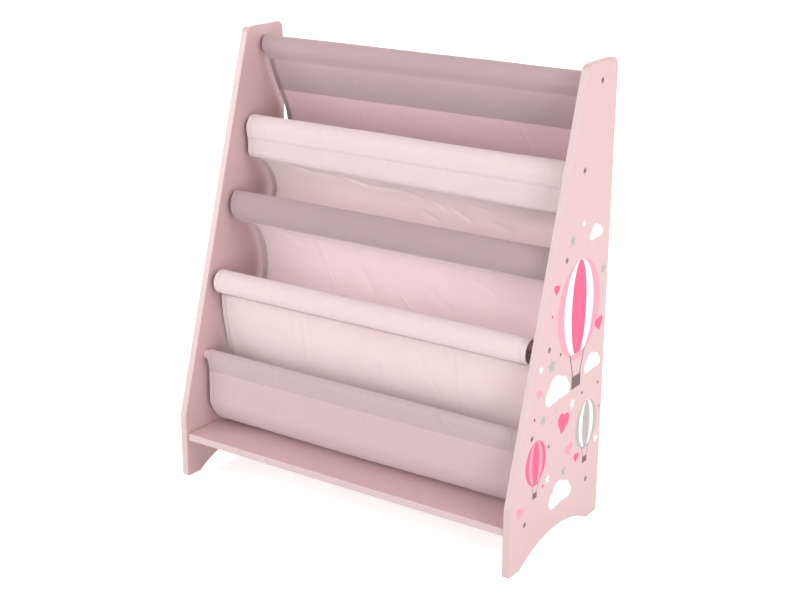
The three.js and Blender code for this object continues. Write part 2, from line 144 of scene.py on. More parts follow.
class ClothSizes(bpy.types.PropertyGroup):
    """Sizes of the sewn cloth."""

    thickness: length_prop("Thickness", 0.0010, "Thickness of one layer of cloth")
    casing_ease: length_prop("Casing Ease", 0.010, "How much wider a round casing is than its rod")
    hem_width: length_prop("Hem Width", 0.010, "Width of the folded side hems")
    band_left: length_prop(
        "Band Left", 0.027, "Drop of the flat band under the second casing, at the left")
    band_right: length_prop("Band Right", 0.038, "Drop of the same band at the right")
    front_hang: length_prop("Front Hang", 0.052, "Upright part of the bottom pocket's front")
    allowance: length_prop(
        "Seam Allowance", 0.062, "Spare cloth that hangs behind the top pocket's wall")
    lap: length_prop("Lap", 0.005, "How far a back wall's top edge is lapped under its casing")
    crisp: length_prop("Crisp Fold", 0.0009, "Round of the flat band's pressed lower edge")
    sag: length_prop("Pocket Sag", 0.004, "How much deeper the pockets hang at mid width")
    # Painted light: how much lighter the wall's colour is made low in a pocket.
    painted_pocket_light: number_prop(
        "Pocket Glow", 0.03, "How much lighter a pocket's wall is low down than at its top")
    stitch_pitch: length_prop("Stitch Pitch", 0.0034, "From one stitch to the next")
    column_step: length_prop("Column Step", 0.0032, "Mesh spacing across the cloth")
    row_step: length_prop("Row Step", 0.0024, "Mesh spacing along the cloth")


class ShelfColours(bpy.types.PropertyGroup):
    """Colours of the finishes, as sRGB values."""

    paint: colour_prop("Paint", (0.800, 0.683, 0.687), "Satin paint on the boards and rods")
    # A greyer colour, used on the faces that turn to the front or back, by how far each one faces
    # that way.
    paint_edge: colour_prop(
        "Paint Edge", (0.756, 0.677, 0.682),
        "Thinner paint on the cut edges at the front and back")
    mauve: colour_prop("Mauve Cloth", (0.794, 0.702, 0.716), "Casings and walls in muted mauve")
    # Painted light: the mauve made paler and greyer for the bottom cloth, standing in for the light
    # that falls on it.
    mauve_with_painted_light: colour_prop(
        "Lower Mauve Cloth", (0.829, 0.752, 0.763),
        "The mauve of the bottom cloth, from a paler batch")
    pale: colour_prop("Pale Cloth", (0.900, 0.845, 0.845), "Casings and walls in very pale pink")
    rose_cloth: colour_prop("Rose Cloth", (0.899, 0.840, 0.847), "Back wall of the third pocket")
    steel: colour_prop("Screw Steel", (0.560, 0.490, 0.520), "Dull plated screw heads")
    hot_pink: colour_prop("Hot Pink Ink", (0.830, 0.270, 0.460), "Strongest colour of the print")
    rose: colour_prop("Rose Ink", (0.890, 0.570, 0.640), "Middle pink of the print")
    grey: colour_prop("Grey Ink", (0.640, 0.630, 0.620), "Warm grey of the print")
    brown: colour_prop("Brown Ink", (0.350, 0.220, 0.240), "Dark brown of the print")
    white: colour_prop("White Ink", (0.930, 0.930, 0.930), "White of the print")


class StageValues(bpy.types.PropertyGroup):
    """Camera, floor and lights."""

    camera_place: bpy.props.FloatVectorProperty(
        name="Camera Place", description="Where the camera stands",
        default=(1.26154, -1.83662, 1.07865), subtype="TRANSLATION")
    camera_yaw: angle_prop("Camera Yaw", 0.59132, "Turn to the left from looking straight back")
    camera_pitch: angle_prop("Camera Pitch", 0.32477, "Tilt down from the level")
    camera_roll: angle_prop("Camera Roll", 0.005245, "Turn about the line of sight")
    camera_lens: number_prop(
        "Camera Lens", 68.02, "Focal length in millimetres on a 36 mm sensor", unit="CAMERA")
    world_strength: number_prop("World Strength", 0.535, "Even light from all sides")
    world_colour: colour_prop(
        "World Colour", (1.00, 0.945, 0.930),
        "Faint tint of the even light, as from the pink boards")
    front_power: power_prop("Front Power", 30.2, "Large soft lamp before the rack")
    left_power: power_prop("Left Power", 32.3, "Soft lamp at the left front")
    top_power: power_prop("Top Power", 19.1, "Soft lamp above the front")
    right_power: power_prop("Right Power", 23.3, "Soft lamp high up at the right")
    low_power: power_prop("Low Power", 33.4, "Soft lamp low down at the right front")
    side_power: power_prop("Side Power", 18.3, "Large soft lamp at the right")
    back_power: power_prop("Back Power", 48.0, "Soft lamp high up behind the left side")
    floor_lift: number_prop(
        "Floor Lift", 0.60, "Light that only the camera sees on the pale floor")


# Small helpers

def linear(colour):
    """An sRGB colour as the linear values that a shader takes, with alpha."""
    return [c / 12.92 if c <= 0.04045 else ((c + 0.055) / 1.055) ** 2.4 for c in colour] + [1.0]


def only(piece):
    """Selects this piece alone and makes it active."""
    bpy.ops.object.select_all(action="DESELECT")
    piece.select_set(True)
    bpy.context.view_layer.objects.active = piece


def settle(piece):
    """Moves a piece's place into its mesh."""
    only(piece)
    bpy.ops.object.transform_apply(location=True, rotation=True, scale=True)


def copied(piece, name):
    """A copy of a piece with a mesh of its own."""
    twin = piece.copy()
    twin.data = piece.data.copy()
    twin.name = name
    bpy.context.scene.collection.objects.link(twin)
    return twin


def modified(piece, kind, **settings):
    """Puts a modifier on a piece and applies it."""
    only(piece)
    modifier = piece.modifiers.new(kind.lower(), kind)
    for key, value in settings.items():
        setattr(modifier, key, value)
    bpy.ops.object.modifier_apply(modifier=modifier.name)


def smooth(piece):
    """Smooth shading with hard edges kept, and flat faces that stay flat."""
    only(piece)
    bpy.ops.object.shade_smooth_by_angle(angle=HARD_EDGE)
    modified(piece, "WEIGHTED_NORMAL", keep_sharp=True, weight=100)


def bevelled(piece, width, segments):
    """Rounds every hard edge of a piece."""
    modified(piece, "BEVEL", width=width, segments=segments, limit_method="ANGLE",
             angle_limit=BEVELLED_EDGE, harden_normals=False)


def combined(piece, other, operation="DIFFERENCE"):
    """Cuts another shape out of a piece, or joins it on, and removes the other shape."""
    modified(piece, "BOOLEAN", operation=operation, solver="EXACT", object=other)
    bpy.data.objects.remove(other, do_unlink=True)


@contextmanager
def editing(piece, select="SELECT"):
    """Edit mode on one piece, with all of it or nothing selected."""
    only(piece)
    bpy.ops.object.mode_set(mode="EDIT")
    bpy.ops.mesh.select_all(action=select)
    yield
    bpy.ops.object.mode_set(mode="OBJECT")


def pick(piece, kind, test):
    """Selects, in edit mode, the edges or vertices of a piece that pass a test."""
    bpy.ops.mesh.select_mode(type=kind)
    mesh = bmesh.from_edit_mesh(piece.data)
    for part in mesh.edges if kind == "EDGE" else mesh.verts:
        part.select = test(part)
    mesh.select_flush_mode()
    bmesh.update_edit_mesh(piece.data)


def block(name, low, high):
    """A box between two corners."""
    bpy.ops.object.select_all(action="DESELECT")
    bpy.ops.mesh.primitive_cube_add(size=1, location=(low + high) / 2, scale=high - low)
    piece = bpy.context.active_object
    piece.name = name
    settle(piece)
    return piece


def bar(name, start_x, end_x, place, radius, far_radius=None, sides=48):
    """A round bar or cone along X, at a place in the side view."""
    bpy.ops.object.select_all(action="DESELECT")
    bpy.ops.mesh.primitive_cone_add(
        vertices=sides,
        radius1=radius,
        radius2=radius if far_radius is None else far_radius,
        depth=abs(end_x - start_x),
        location=((start_x + end_x) / 2, place[0], place[1]),
        rotation=(0, math.pi / 2 if end_x > start_x else -math.pi / 2, 0),
    )
    piece = bpy.context.active_object
    piece.name = name
    settle(piece)
    return piece


def mesh_piece(name, points, faces, material):
    """A smooth-shaded piece from its points and faces."""
    mesh = bpy.data.meshes.new(name)
    mesh.from_pydata(points.tolist(), [], faces)
    mesh.polygons.foreach_set("use_smooth", np.ones(len(mesh.polygons), bool))
    mesh.materials.append(material)
    mesh.update()
    piece = bpy.data.objects.new(name, mesh)
    bpy.context.scene.collection.objects.link(piece)
    return piece


def declare(piece, node=None):
    """Attaches a piece to the rack's root body and, if a CAD node is named, hides that node."""
    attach(piece, "root")
    if node is not None:
        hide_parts(node)


def coat(piece, material):
    """Gives a piece one material all over."""
    piece.data.materials.clear()
    piece.data.materials.append(material)


# Materials

class Recipe:
    """The node tree of a material or world being put together."""

    def __init__(self, owner):
        owner.use_nodes = True
        self.owner = owner
        self.tree = owner.node_tree

    def feed(self, node, inputs):
        """Sets each input of a node to a value, or joins another node's output to it."""
        for key, value in inputs.items():
            if isinstance(value, bpy.types.NodeSocket):
                self.tree.links.new(value, node.inputs[key])
            else:
                node.inputs[key].default_value = value

    def node(self, kind, inputs=None, **settings):
        made = self.tree.nodes.new(kind)
        for key, value in settings.items():
            setattr(made, key, value)
        self.feed(made, inputs or {})
        return made

    def place(self):
        return self.node("ShaderNodeTexCoord").outputs["Object"]

    def attribute(self, name):
        return self.node("ShaderNodeAttribute", attribute_name=name).outputs["Fac"]

    def math(self, operation, first, second):
        return self.node("ShaderNodeMath", {0: first, 1: second}, operation=operation).outputs[0]

    def stretched(self, source, scale):
        return self.node("ShaderNodeMapping", {"Scale": scale, "Vector": source}).outputs[0]

    def noise(self, source, scale, detail=2.0, roughness=0.5):
        inputs = {"Scale": scale, "Detail": detail, "Roughness": roughness, "Vector": source}
        return self.node("ShaderNodeTexNoise", inputs).outputs["Fac"]

    def between(self, source, low, high):
        """A value from 0 to 1 spread between two others."""
        inputs = {"To Min": low, "To Max": high, "Value": source}
        return self.node("ShaderNodeMapRange", inputs).outputs[0]

    def tinted(self, colour, factor):
        """A colour made darker or lighter by a factor that varies over the surface."""
        inputs = {0: linear(colour)[:3], "Scale": factor}
        return self.node("ShaderNodeVectorMath", inputs, operation="SCALE").outputs[0]

    def bump(self, height, distance, strength, after=None):
        inputs = {"Distance": distance, "Strength": strength, "Height": height}
        if after is not None:
            inputs["Normal"] = after
        return self.node("ShaderNodeBump", inputs).outputs[0]

    def seen(self):
        """1 for a ray from the camera, a reflection or glass, and 0 for scattered light."""
        rays = self.node("ShaderNodeLightPath").outputs
        seen = rays["Is Camera Ray"]
        for name in ("Is Glossy Ray", "Is Transmission Ray"):
            seen = self.math("MAXIMUM", seen, rays[name])
        return seen

    def finished(self, inputs):
        """The material, once its shader's inputs are set."""
        self.feed(self.tree.nodes["Principled BSDF"], inputs)
        return self.owner


def recipe_for(name):
    return Recipe(bpy.data.materials.new(name))


def paint_material(name, colour, edge=None):
    """Satin paint over smooth board: a faint roller texture, uneven gloss and greyer cut edges."""
    recipe = recipe_for(name)
    place = recipe.place()
    broad = recipe.noise(place, 7.0, 3.0)
    roller = recipe.noise(place, 520.0, 2.0, 0.6)
    specks = recipe.noise(place, 90.0, 4.0, 0.6)
    shade = recipe.math(
        "ADD", recipe.between(broad, 0.975, 1.02), recipe.between(specks, -0.008, 0.008))
    paint = recipe.tinted(colour, shade)
    if edge is not None:
        blend = {0: recipe.attribute("cut_edge"), 6: paint, 7: recipe.tinted(edge, shade)}
        paint = recipe.node("ShaderNodeMix", blend, data_type="RGBA").outputs[2]
    fine = recipe.bump(roller, 0.00006, 0.6)
    return recipe.finished({
        "Base Color": paint,
        "Roughness": recipe.between(broad, 0.30, 0.44),
        "Normal": recipe.bump(broad, 0.0006, 0.25, fine),
        "Specular IOR Level": 0.35,
        "Coat Weight": 0.08,
        "Coat Roughness": 0.22,
    })


def cloth_material(name, colour):
    """Plain-woven cotton: crossing threads, slubs, uneven dye, a little sheen and a soft glow, made
    darker and lighter by the painted light and shade of its shade attribute.
    """
    thread = 0.0011
    turns = 2 * math.pi / thread
    recipe = recipe_for(name)
    place = recipe.node("ShaderNodeUVMap", uv_map="cloth").outputs[0]
    split = recipe.node("ShaderNodeSeparateXYZ", {0: place}).outputs
    across, along = (
        recipe.math("SINE", recipe.math("MULTIPLY", split[axis], turns), 0.5) for axis in "XY")
    weave = recipe.math("MULTIPLY", across, along)
    slub_across, slub_along = (
        recipe.noise(recipe.stretched(place, scale), 1.0, 2.0, 0.6)
        for scale in ((45, 1050, 1), (1050, 45, 1)))
    slubs = recipe.math("ADD", slub_across, slub_along)
    dye = recipe.noise(place, 14.0, 4.0, 0.55)
    # The shade attribute holds painted light and shade. It tints the glow as well.
    painted_shade = recipe.attribute("shade")
    uneven = recipe.math("MULTIPLY", recipe.math("SUBTRACT", slubs, 1.0), 0.10)
    shade = recipe.math("ADD", recipe.between(dye, 0.975, 1.02), uneven)
    shade = recipe.math("ADD", shade, recipe.math("MULTIPLY", weave, 0.018))
    shade = recipe.math("MULTIPLY", shade, painted_shade)
    threads = recipe.bump(weave, 0.00008, 0.5)
    material = recipe.finished({
        "Base Color": recipe.tinted(colour, shade),
        "Roughness": recipe.between(dye, 0.82, 0.94),
        "Normal": recipe.bump(slubs, 0.00022, 0.5, threads),
        "Specular IOR Level": 0.25,
        "Diffuse Roughness": 0.8,
        "Sheen Weight": 0.02,
        "Sheen Roughness": 0.45,
    })
    glow_colour = recipe.tinted([(2 * c + 1) / 3 for c in colour], painted_shade)
    glow = recipe.node("ShaderNodeBsdfTranslucent", {"Color": glow_colour})
    opaque = recipe.tree.nodes["Principled BSDF"]
    thin = recipe.node("ShaderNodeMixShader", {
        0: recipe.attribute("thin"), 1: opaque.outputs[0], 2: glow.outputs[0]})
    recipe.feed(recipe.tree.nodes["Material Output"], {"Surface": thin.outputs[0]})
    return material


def thread_material(name, colour):
    """Twisted sewing thread."""
    recipe = recipe_for(name)
    twist = recipe.noise(recipe.place(), 1800.0, 1.0)
    return recipe.finished({
        "Base Color": recipe.tinted(colour, recipe.between(twist, 0.86, 1.04)),
        "Normal": recipe.bump(twist, 0.00008, 0.6),
        "Roughness": 0.7,
        "Sheen Weight": 0.2,
    })


def steel_material(name, colour):
    """Dull plated steel with fine turning marks."""
    recipe = recipe_for(name)
    grain = recipe.noise(recipe.stretched(recipe.place(), (200, 1400, 1400)), 1.0, 3.0)
    return recipe.finished({
        "Base Color": recipe.tinted(colour, recipe.between(grain, 0.85, 1.05)),
        "Roughness": recipe.between(grain, 0.28, 0.48),
        "Normal": recipe.bump(grain, 0.00004, 0.5),
        "Metallic": 0.75,
    })


# Rigid pieces

def mark_cut_edges(piece):
    """Gives each face its share of the cut edges' paint, by how far it faces the front or back."""
    facing = np.zeros(3 * len(piece.data.polygons))
    piece.data.polygons.foreach_get("normal", facing)
    attribute = piece.data.attributes.new("cut_edge", "FLOAT", "FACE")
    attribute.data.foreach_set("value", (facing[1::3] ** 2).astype(np.float32))


def round_corner(piece, place, radius, inner_angle, segments=12):
    """Rounds the edge along X that stands at a place in the side view."""
    def stands_there(edge):
        return all(
            abs(vertex.co.y - place[0]) < NEAR and abs(vertex.co.z - place[1]) < NEAR
            for vertex in edge.verts)

    offset = radius / math.tan(inner_angle / 2)
    with editing(piece, "DESELECT"):
        pick(piece, "EDGE", stands_there)
        bpy.ops.mesh.bevel(offset=offset, segments=segments, affect="EDGES", offset_type="OFFSET")


def panel_blank(sizes):
    """The left side panel as a bare board with its outline, at its own place."""
    low, high = PANEL_LOW, PANEL_HIGH
    piece = block("side_panel", low, high)
    back_top = (high.y, high.z)
    front_top = (high.y - sizes.top_width, high.z)
    knee = (low.y, low.z + sizes.front_rise)
    run = front_top[0] - knee[0]
    rise = front_top[1] - knee[1]
    with editing(piece):
        bpy.ops.mesh.bisect(
            plane_co=(0, *knee), plane_no=(0, -rise, run), use_fill=True, clear_outer=True)
    slant = math.atan2(run, rise)
    round_corner(piece, back_top, sizes.top_radius, math.pi / 2)
    round_corner(piece, front_top, sizes.top_radius, math.pi / 2 + slant)
    round_corner(piece, knee, sizes.knee_radius, math.pi - slant)
    for toe in (low.y, high.y):
        round_corner(piece, (toe, low.z), sizes.toe_radius, math.pi / 2, 6)
    return piece


def cut_arch(piece, sizes):
    """Cuts the arch between the feet with a large round bar."""
    half = (PANEL_HIGH.y - PANEL_LOW.y) / 2 - sizes.foot_length
    radius = (half ** 2 + sizes.arch_rise ** 2) / (2 * sizes.arch_rise)
    over = 5 * MM
    place = (0, sizes.arch_rise - radius)
    combined(piece, bar("arch", PANEL_LOW.x - over, PANEL_HIGH.x + over, place, radius, sides=360))


def cut_screw_holes(piece, sizes):
    """Countersinks and drills the screw holes of the left panel."""
    ease = 0.3 * MM
    over = 2 * MM
    flare = (sizes.head_radius - sizes.shank_radius) / sizes.head_depth
    outside = PANEL_LOW.x - over
    inside = PANEL_LOW.x + sizes.head_depth + ease
    mouth = sizes.head_radius + ease + over * flare
    bore = sizes.shank_radius + ease
    for place in SCREW_PLACES.values():
        combined(piece, bar("shank", outside, PANEL_HIGH.x + over, place, bore))
        combined(piece, bar("sink", outside, inside, place, mouth, sizes.shank_radius))


def mirrored_copy(piece, name):
    """A copy of a piece on the other side of the rack."""
    twin = copied(piece, name)
    twin.scale.x = -1
    settle(twin)
    with editing(twin):
        bpy.ops.mesh.normals_make_consistent(inside=False)
    return twin


class SHELF_OT_boards(bpy.types.Operator):
    """Build the two side panels and the shelf board"""

    bl_idname = "shelf.boards"
    bl_label = "Boards"

    def execute(self, context):
        sizes = context.scene.shelf_panels
        colours = context.scene.shelf_colours
        paint = paint_material("satin paint", colours.paint, colours.paint_edge)
        left = panel_blank(sizes)
        cut_arch(left, sizes)
        bevelled(left, sizes.edge_round, 4)
        cut_screw_holes(left, sizes)
        left.name = "panel_left"
        right = mirrored_copy(left, "panel_right")
        board = block("board", BOARD_LOW, BOARD_HIGH)
        bevelled(board, sizes.edge_round, 4)
        for piece, node in (
            (left, "side_panel_left"), (right, "side_panel_right"), (board, "shelf_board"),
        ):
            smooth(piece)
            mark_cut_edges(piece)
            coat(piece, paint)
            declare(piece, node)
        return {"FINISHED"}


class SHELF_OT_rods(bpy.types.Operator):
    """Build the round rods"""

    bl_idname = "shelf.rods"
    bl_label = "Rods"

    def execute(self, context):
        sizes = context.scene.shelf_panels
        paint = paint_material("rod paint", context.scene.shelf_colours.paint)
        low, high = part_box("rod_1")
        for i, place in enumerate(ROD_PLACES):
            piece = bar(f"round_rod_{i + 1}", low.x, high.x, place, ROD_RADIUS, sides=64)
            bevelled(piece, sizes.rod_chamfer, 3)
            smooth(piece)
            coat(piece, paint)
            declare(piece, f"rod_{i + 1}")
        return {"FINISHED"}


def screw_master(sizes):
    """One countersunk screw head with its cross recess and part of its shank, from x = 0."""
    deep = sizes.head_depth
    long = 12 * MM
    head = bar("screw", 0, deep, (0, 0), sizes.head_radius, sizes.shank_radius)
    combined(head, bar("shank", deep / 2, long, (0, 0), sizes.shank_radius), "UNION")
    bevelled(head, 0.25 * MM, 2)
    x, span, width = deep * 0.55, sizes.recess_span / 2, sizes.recess_slot / 2
    for half in (Vector((x, span, width)), Vector((x, width, span))):
        slot = block("slot", -half, half)
        bevelled(slot, 0.2 * MM, 2)
        combined(head, slot)
    smooth(head)
    return head


class SHELF_OT_screws(bpy.types.Operator):
    """Build the countersunk screws"""

    bl_idname = "shelf.screws"
    bl_label = "Screws"

    def execute(self, context):
        sizes = context.scene.shelf_panels
        steel = steel_material("plated steel", context.scene.shelf_colours.steel)
        master = screw_master(sizes)
        sink = 0.2 * MM
        turn_step = math.radians(37)
        right_turns = 2.3
        for count, (name, place) in enumerate(sorted(SCREW_PLACES.items())):
            for side, facing in (("left", 1), ("right", -1)):
                piece = copied(master, f"head_{name}_{side}")
                turns = count + (facing < 0) * right_turns
                spin = Matrix.Rotation(turn_step * turns, 4, "X")
                turned = Matrix.Rotation(0 if facing > 0 else math.pi, 4, "Z")
                moved = Matrix.Translation((-facing * (OUTER_HALF - sink), *place))
                piece.data.transform(moved @ turned @ spin)
                coat(piece, steel)
                declare(piece, f"{name}_{side}")
        bpy.data.objects.remove(master, do_unlink=True)
        return {"FINISHED"}


# Cloth, seen from the side. A point is (distance to the back, height).

# Creases of each sheet in millimetres: from across, along, to across, along, height, width.
CREASES = {
    "first": (
        (-124, 120, -129, 200, 0.35, 5), (-130, 214, -133, 275, 0.8, 4),
        (186, 118, 188, 150, 0.5, 5), (165, 225, 180, 278, 0.9, 5),
    ),
    "second": (
        (-148, 155, -138, 190, 0.3, 6), (-136, 190, -138, 234, 0.6, 3.5),
        (-262, 246, -228, 263, -1.3, 8), (-228, 263, -190, 277, -1.5, 8),
        (-190, 277, -140, 279, -1.2, 8), (-125, 277, -80, 290, -1.7, 7),
        (-80, 290, -19, 287, -1.3, 8), (-19, 287, 22, 302, -0.9, 8),
        (-136, 238, -135, 335, 0.9, 4), (39, 303, 58, 318, -1.0, 6),
        (8, 326, 46, 339, -1.0, 6), (65, 310, 102, 331, -1.2, 7),
        (104, 298, 140, 304, -0.9, 6), (130, 327, 175, 337, -1.0, 7),
        (180, 250, 230, 285, -0.8, 9),
    ),
    "third": ((-135, 60, -135, 140, 0.2, 5), (165, 60, 167, 140, 0.25, 5)),
    "fourth": (
        (-166, 55, -157, 110, 0.6, 6), (-157, 110, -141, 151, 0.9, 4.5),
        (-15, 131, 13, 157, 0.9, 4.5), (212, 19, 252, 59, -0.6, 8),
        (122, 75, 163, 97, -0.6, 8), (-90, 100, -60, 145, -0.7, 10),
        (40, 115, 90, 145, -0.6, 9), (-240, 45, -200, 80, -0.7, 10),
    ),
    "fifth": ((-135, 90, -135, 170, 0.2, 5), (165, 90, 165, 170, 0.2, 5)),
    "fifth_wall": (
        (-141, 9, -145, 85, 0.5, 4), (-122, 9, -125, 135, 0.9, 5),
        (26, 45, 26, 115, 0.4, 6), (164, 9, 164, 125, 0.9, 5),
        (92, 25, 108, 57, -0.35, 6), (108, 57, 131, 103, -0.35, 7),
    ),
    "sixth": (
        (-151, 104, -151, 150, 0.45, 5), (-55, 120, -52, 150, 0.35, 5),
        (19, 118, 19, 150, 0.5, 5), (152, 152, 182, 118, 0.7, 6),
        (-151, 18, -151, 100, 0.3, 5), (30, 20, 28, 98, 0.2, 6),
    ),
}

# Each casing: its hollow as shares of the casing's ease, the direction it hangs in, its seam as
# shares of the rods' step, and where a front wall runs into it, as a share of half a turn.
CASING_NAMES = ("across", "up", "forward", "down", "seam_back", "seam_down", "land")
CASING_SHARES = [dict(zip(CASING_NAMES, row)) for row in (
    (0.52, 0.52, 0.76, 0.65, 0.012, 0.213, 0),
    (0.95, 1.0, 0.1, 1.0, -0.135, 0.195, 0),
    (0.72, 1.4, 0.62, 0.78, -0.08, 0.266, 0.37),
    (1.0, 1.0, 0.88, 0.47, -0.074, 0.205, 0.3),
    (0.04, 0.04, 0.7, 0.7, -0.033, 0.185, 0),
)]

# Each pocket's walls, as shares of the rods' step below the pocket's upper rod, and the reach as
# a share of the way from that rod to the panels' back edge.
POCKET_NAMES = (
    "reach", "reach_down", "deep_back", "deep_down", "leave_back", "leave_down", "arrive",
    "front", "front_down")
POCKET_SHARES = [dict(zip(POCKET_NAMES, row)) for row in (
    (1, 1.15, -0.03, 1.5, 0.075, 0.33, 0.26, 0.2, 0.1),
    (0.484, 0.985, 0, 1.25, 0.187, 0.03, 0.25, 0.16, 0.02),
    (0.438, 0.99, 0.07, 1.57, 0.27, 0, 0.49, 0.2, 0.2),
    (0.113, 1.57, -0.09, 1.96, -0.01, 0.51, 0.24, 0.11, 0.14),
)]

# The handle that makes a bezier line a quarter of a circle.
ROUND_SHARE = 0.5523
# From a seam to the layers sewn there, and to a lapped layer, as shares of the thickness.
SEWN_SHARE = 0.55
LAP_SHARE = 1.05
# How far the cloth stays before the panels' back edges and above the board.
BACK_INSET = 1.6 * MM
SHELF_SKIM = 1.6 * MM
# How far the bottom pocket's front leans out, and the play between a casing and its rod.
FRONT_LEAN = 2 * MM
SEAT_GAP = 0.3 * MM
# The share of light that cloth lets through where it lies double or on a rod.
LAYERED_GLOW = 0.22
# From the inner edge of a side hem to its stitching.
HEM_STITCH = 2 * MM
# How much thicker a hem is on the right side and on the other, and the half thickness of a rim.
HEM_RAISE = (0.28 * MM, 0.55 * MM)
RIM = 0.02 * MM
# A stitch's length as a share of the pitch, and its half thickness.
STITCH_SHARE = 0.78
STITCH_GIRTH = 0.24 * MM
# Ripples: size across and along in metres, and height in millimetres.
RIPPLES = ((0.085, 0.055, 0.75), (0.034, 0.05, 0.32), (0.013, 0.03, 0.12))


def at(back, up):
    return np.array([back, up], float)


def line(start, end, count=24):
    return start + (end - start) * np.linspace(0, 1, count)[:, None]


def bezier(start, leave, arrive, end, count=80):
    t = np.linspace(0, 1, count)[:, None]
    s = 1 - t
    return s ** 3 * start + 3 * s ** 2 * t * leave + 3 * s * t * t * arrive + t ** 3 * end


def lengths_along(points):
    steps = np.linalg.norm(np.diff(points, axis=0), axis=1)
    return np.concatenate([[0.0], np.cumsum(steps)])


def spaced(points, count):
    """The same line with evenly spaced points."""
    along = lengths_along(points)
    even = np.linspace(0, along[-1], count)
    return np.stack([np.interp(even, along, points[:, k]) for k in (0, 1)], axis=1)


def smoothstep(value):
    value = np.clip(value, 0, 1)
    return value * value * (3 - 2 * value)


def lattice_noise(x, v, size_x, size_v, seed):
    """Smooth random hills from -1 to 1, the same each time for one seed."""
    grid = np.random.default_rng(seed).uniform(-1, 1, (64, 64))
    a, b = x / size_x + 31.3, v / size_v + 17.7
    i, j = np.floor(a).astype(int), np.floor(b).astype(int)
    f, g = smoothstep(a - i), smoothstep(b - j)
    i, j = i % 63, j % 63
    low = grid[i, j] * (1 - f) + grid[i + 1, j] * f
    high = grid[i, j + 1] * (1 - f) + grid[i + 1, j + 1] * f
    return low * (1 - g) + high * g


class Side:
    """The cloth's lines at one place across the rack, from -1 at the left hem to 1 at the right."""

    def __init__(self, sizes, side):
        self.sizes = sizes
        self.side = side
        self.half_layer = sizes.thickness / 2
        self.sewn_layer = sizes.thickness * SEWN_SHARE

    def band_drop(self):
        """How far the flat band hangs below the second casing's seam."""
        left, right = self.sizes.band_left, self.sizes.band_right
        return left + (right - left) * (self.side + 1) / 2

    def seam(self, i, back=0.0):
        """Where a casing is sewn shut, or a place beside it."""
        share = CASING_SHARES[i]
        return ROD_PLACES[i] + at(
            share["seam_back"] * ROD_STEP + back, -share["seam_down"] * ROD_STEP)

    def oval(self, i):
        """Centre and half sizes of the middle layer of a casing that hangs on its rod."""
        share = CASING_SHARES[i]
        reach = ROD_RADIUS + SEAT_GAP
        size = reach + self.sizes.casing_ease * at(share["across"], share["up"])
        hang = -at(share["forward"], share["down"])
        hang /= np.linalg.norm(hang)
        angles = np.linspace(0, 2 * math.pi, 73)
        rim = np.stack([np.cos(angles), np.sin(angles)], axis=1) * reach
        near, far = 0.0, size.max()
        for _ in range(24):
            middle = (near + far) / 2
            inside = (((rim - hang * middle) / size) ** 2).sum(axis=1).max() <= 1
            near, far = (middle, far) if inside else (near, middle)
        return ROD_PLACES[i] + hang * near, size + self.half_layer

    def loop(self, i, start, end, open_from=None):
        """Round the casing from its seam up behind the rod, over it and down in front."""
        centre, size = self.oval(i)
        apart = (self.seam(i) - centre) / size
        facing = math.atan2(apart[1], apart[0])
        opening = math.acos(min(1 / np.linalg.norm(apart), 1))
        first = facing + opening if open_from is None else open_from
        last = facing - opening + 2 * math.pi
        angles = np.linspace(first, last, 160)
        arc = centre + np.stack([np.cos(angles), np.sin(angles)], axis=1) * size
        parts = [arc, line(arc[-1], end, 12)[1:]]
        if open_from is None:
            parts.insert(0, line(start, arc[0], 12)[:-1])
        return np.concatenate(parts)

    def landing(self, i):
        centre, size = self.oval(i)
        angle = -CASING_SHARES[i]["land"] * math.pi
        return centre + at(math.cos(angle), math.sin(angle)) * size, angle

    def reach(self, i):
        share = POCKET_SHARES[i]
        room = PANEL_HIGH.y - BACK_INSET - self.half_layer - ROD_PLACES[i][0]
        return ROD_PLACES[i] + at(share["reach"] * room, -share["reach_down"] * ROD_STEP)

    def deep(self, i):
        share = POCKET_SHARES[i]
        deep = ROD_PLACES[i] + at(share["deep_back"] * ROD_STEP, -share["deep_down"] * ROD_STEP)
        if i == len(POCKET_SHARES) - 1:
            lift = 0.4 * self.sizes.sag * self.side ** 2
            deep[1] = BOARD_HIGH.z + SHELF_SKIM + self.half_layer + lift
        else:
            deep[1] -= self.sizes.sag * (1 - self.side ** 2)
        return deep

    def back_wall(self, i, start):
        """A pocket's back wall in two stretches, down from its top and round to the underside."""
        share = POCKET_SHARES[i]
        reach, deep = self.reach(i), self.deep(i)
        upper = bezier(
            start,
            start + at(share["leave_back"] * ROD_STEP, -share["leave_down"] * ROD_STEP),
            reach + at(0, share["arrive"] * ROD_STEP),
            reach)
        lower = bezier(
            reach,
            reach + at(0, (deep[1] - reach[1]) * ROUND_SHARE),
            deep + at((reach[0] - deep[0]) * ROUND_SHARE, 0),
            deep)
        return upper, lower

    def front_wall(self, i, landing):
        """A pocket's front wall, from its underside forward and up to where it lands."""
        share = POCKET_SHARES[i]
        start = self.deep(i) + at(-SEAT_GAP, 0)
        return bezier(
            start,
            start + at(-share["front"] * ROD_STEP, 0),
            landing + at(0, -share["front_down"] * ROD_STEP),
            landing)


def shifted_line(points, offset):
    """A line beside another one, to its right as it runs."""
    along = np.gradient(points, axis=0)
    along /= np.linalg.norm(along, axis=1)[:, None]
    return points + np.stack([along[:, 1], -along[:, 0]], axis=1) * offset


def top_sheet(side):
    """Casing 1 and the back wall of pocket 1, with the spare cloth that hangs behind the wall."""
    layer = side.sewn_layer
    upper, lower = side.back_wall(0, side.seam(0, -layer))
    spare = upper[lengths_along(upper) < side.sizes.allowance]
    spare = shifted_line(spare, -2 * layer)[::-1]
    loop = side.loop(0, side.seam(0, layer), side.seam(0, -layer))
    return [spare, loop, upper, lower]


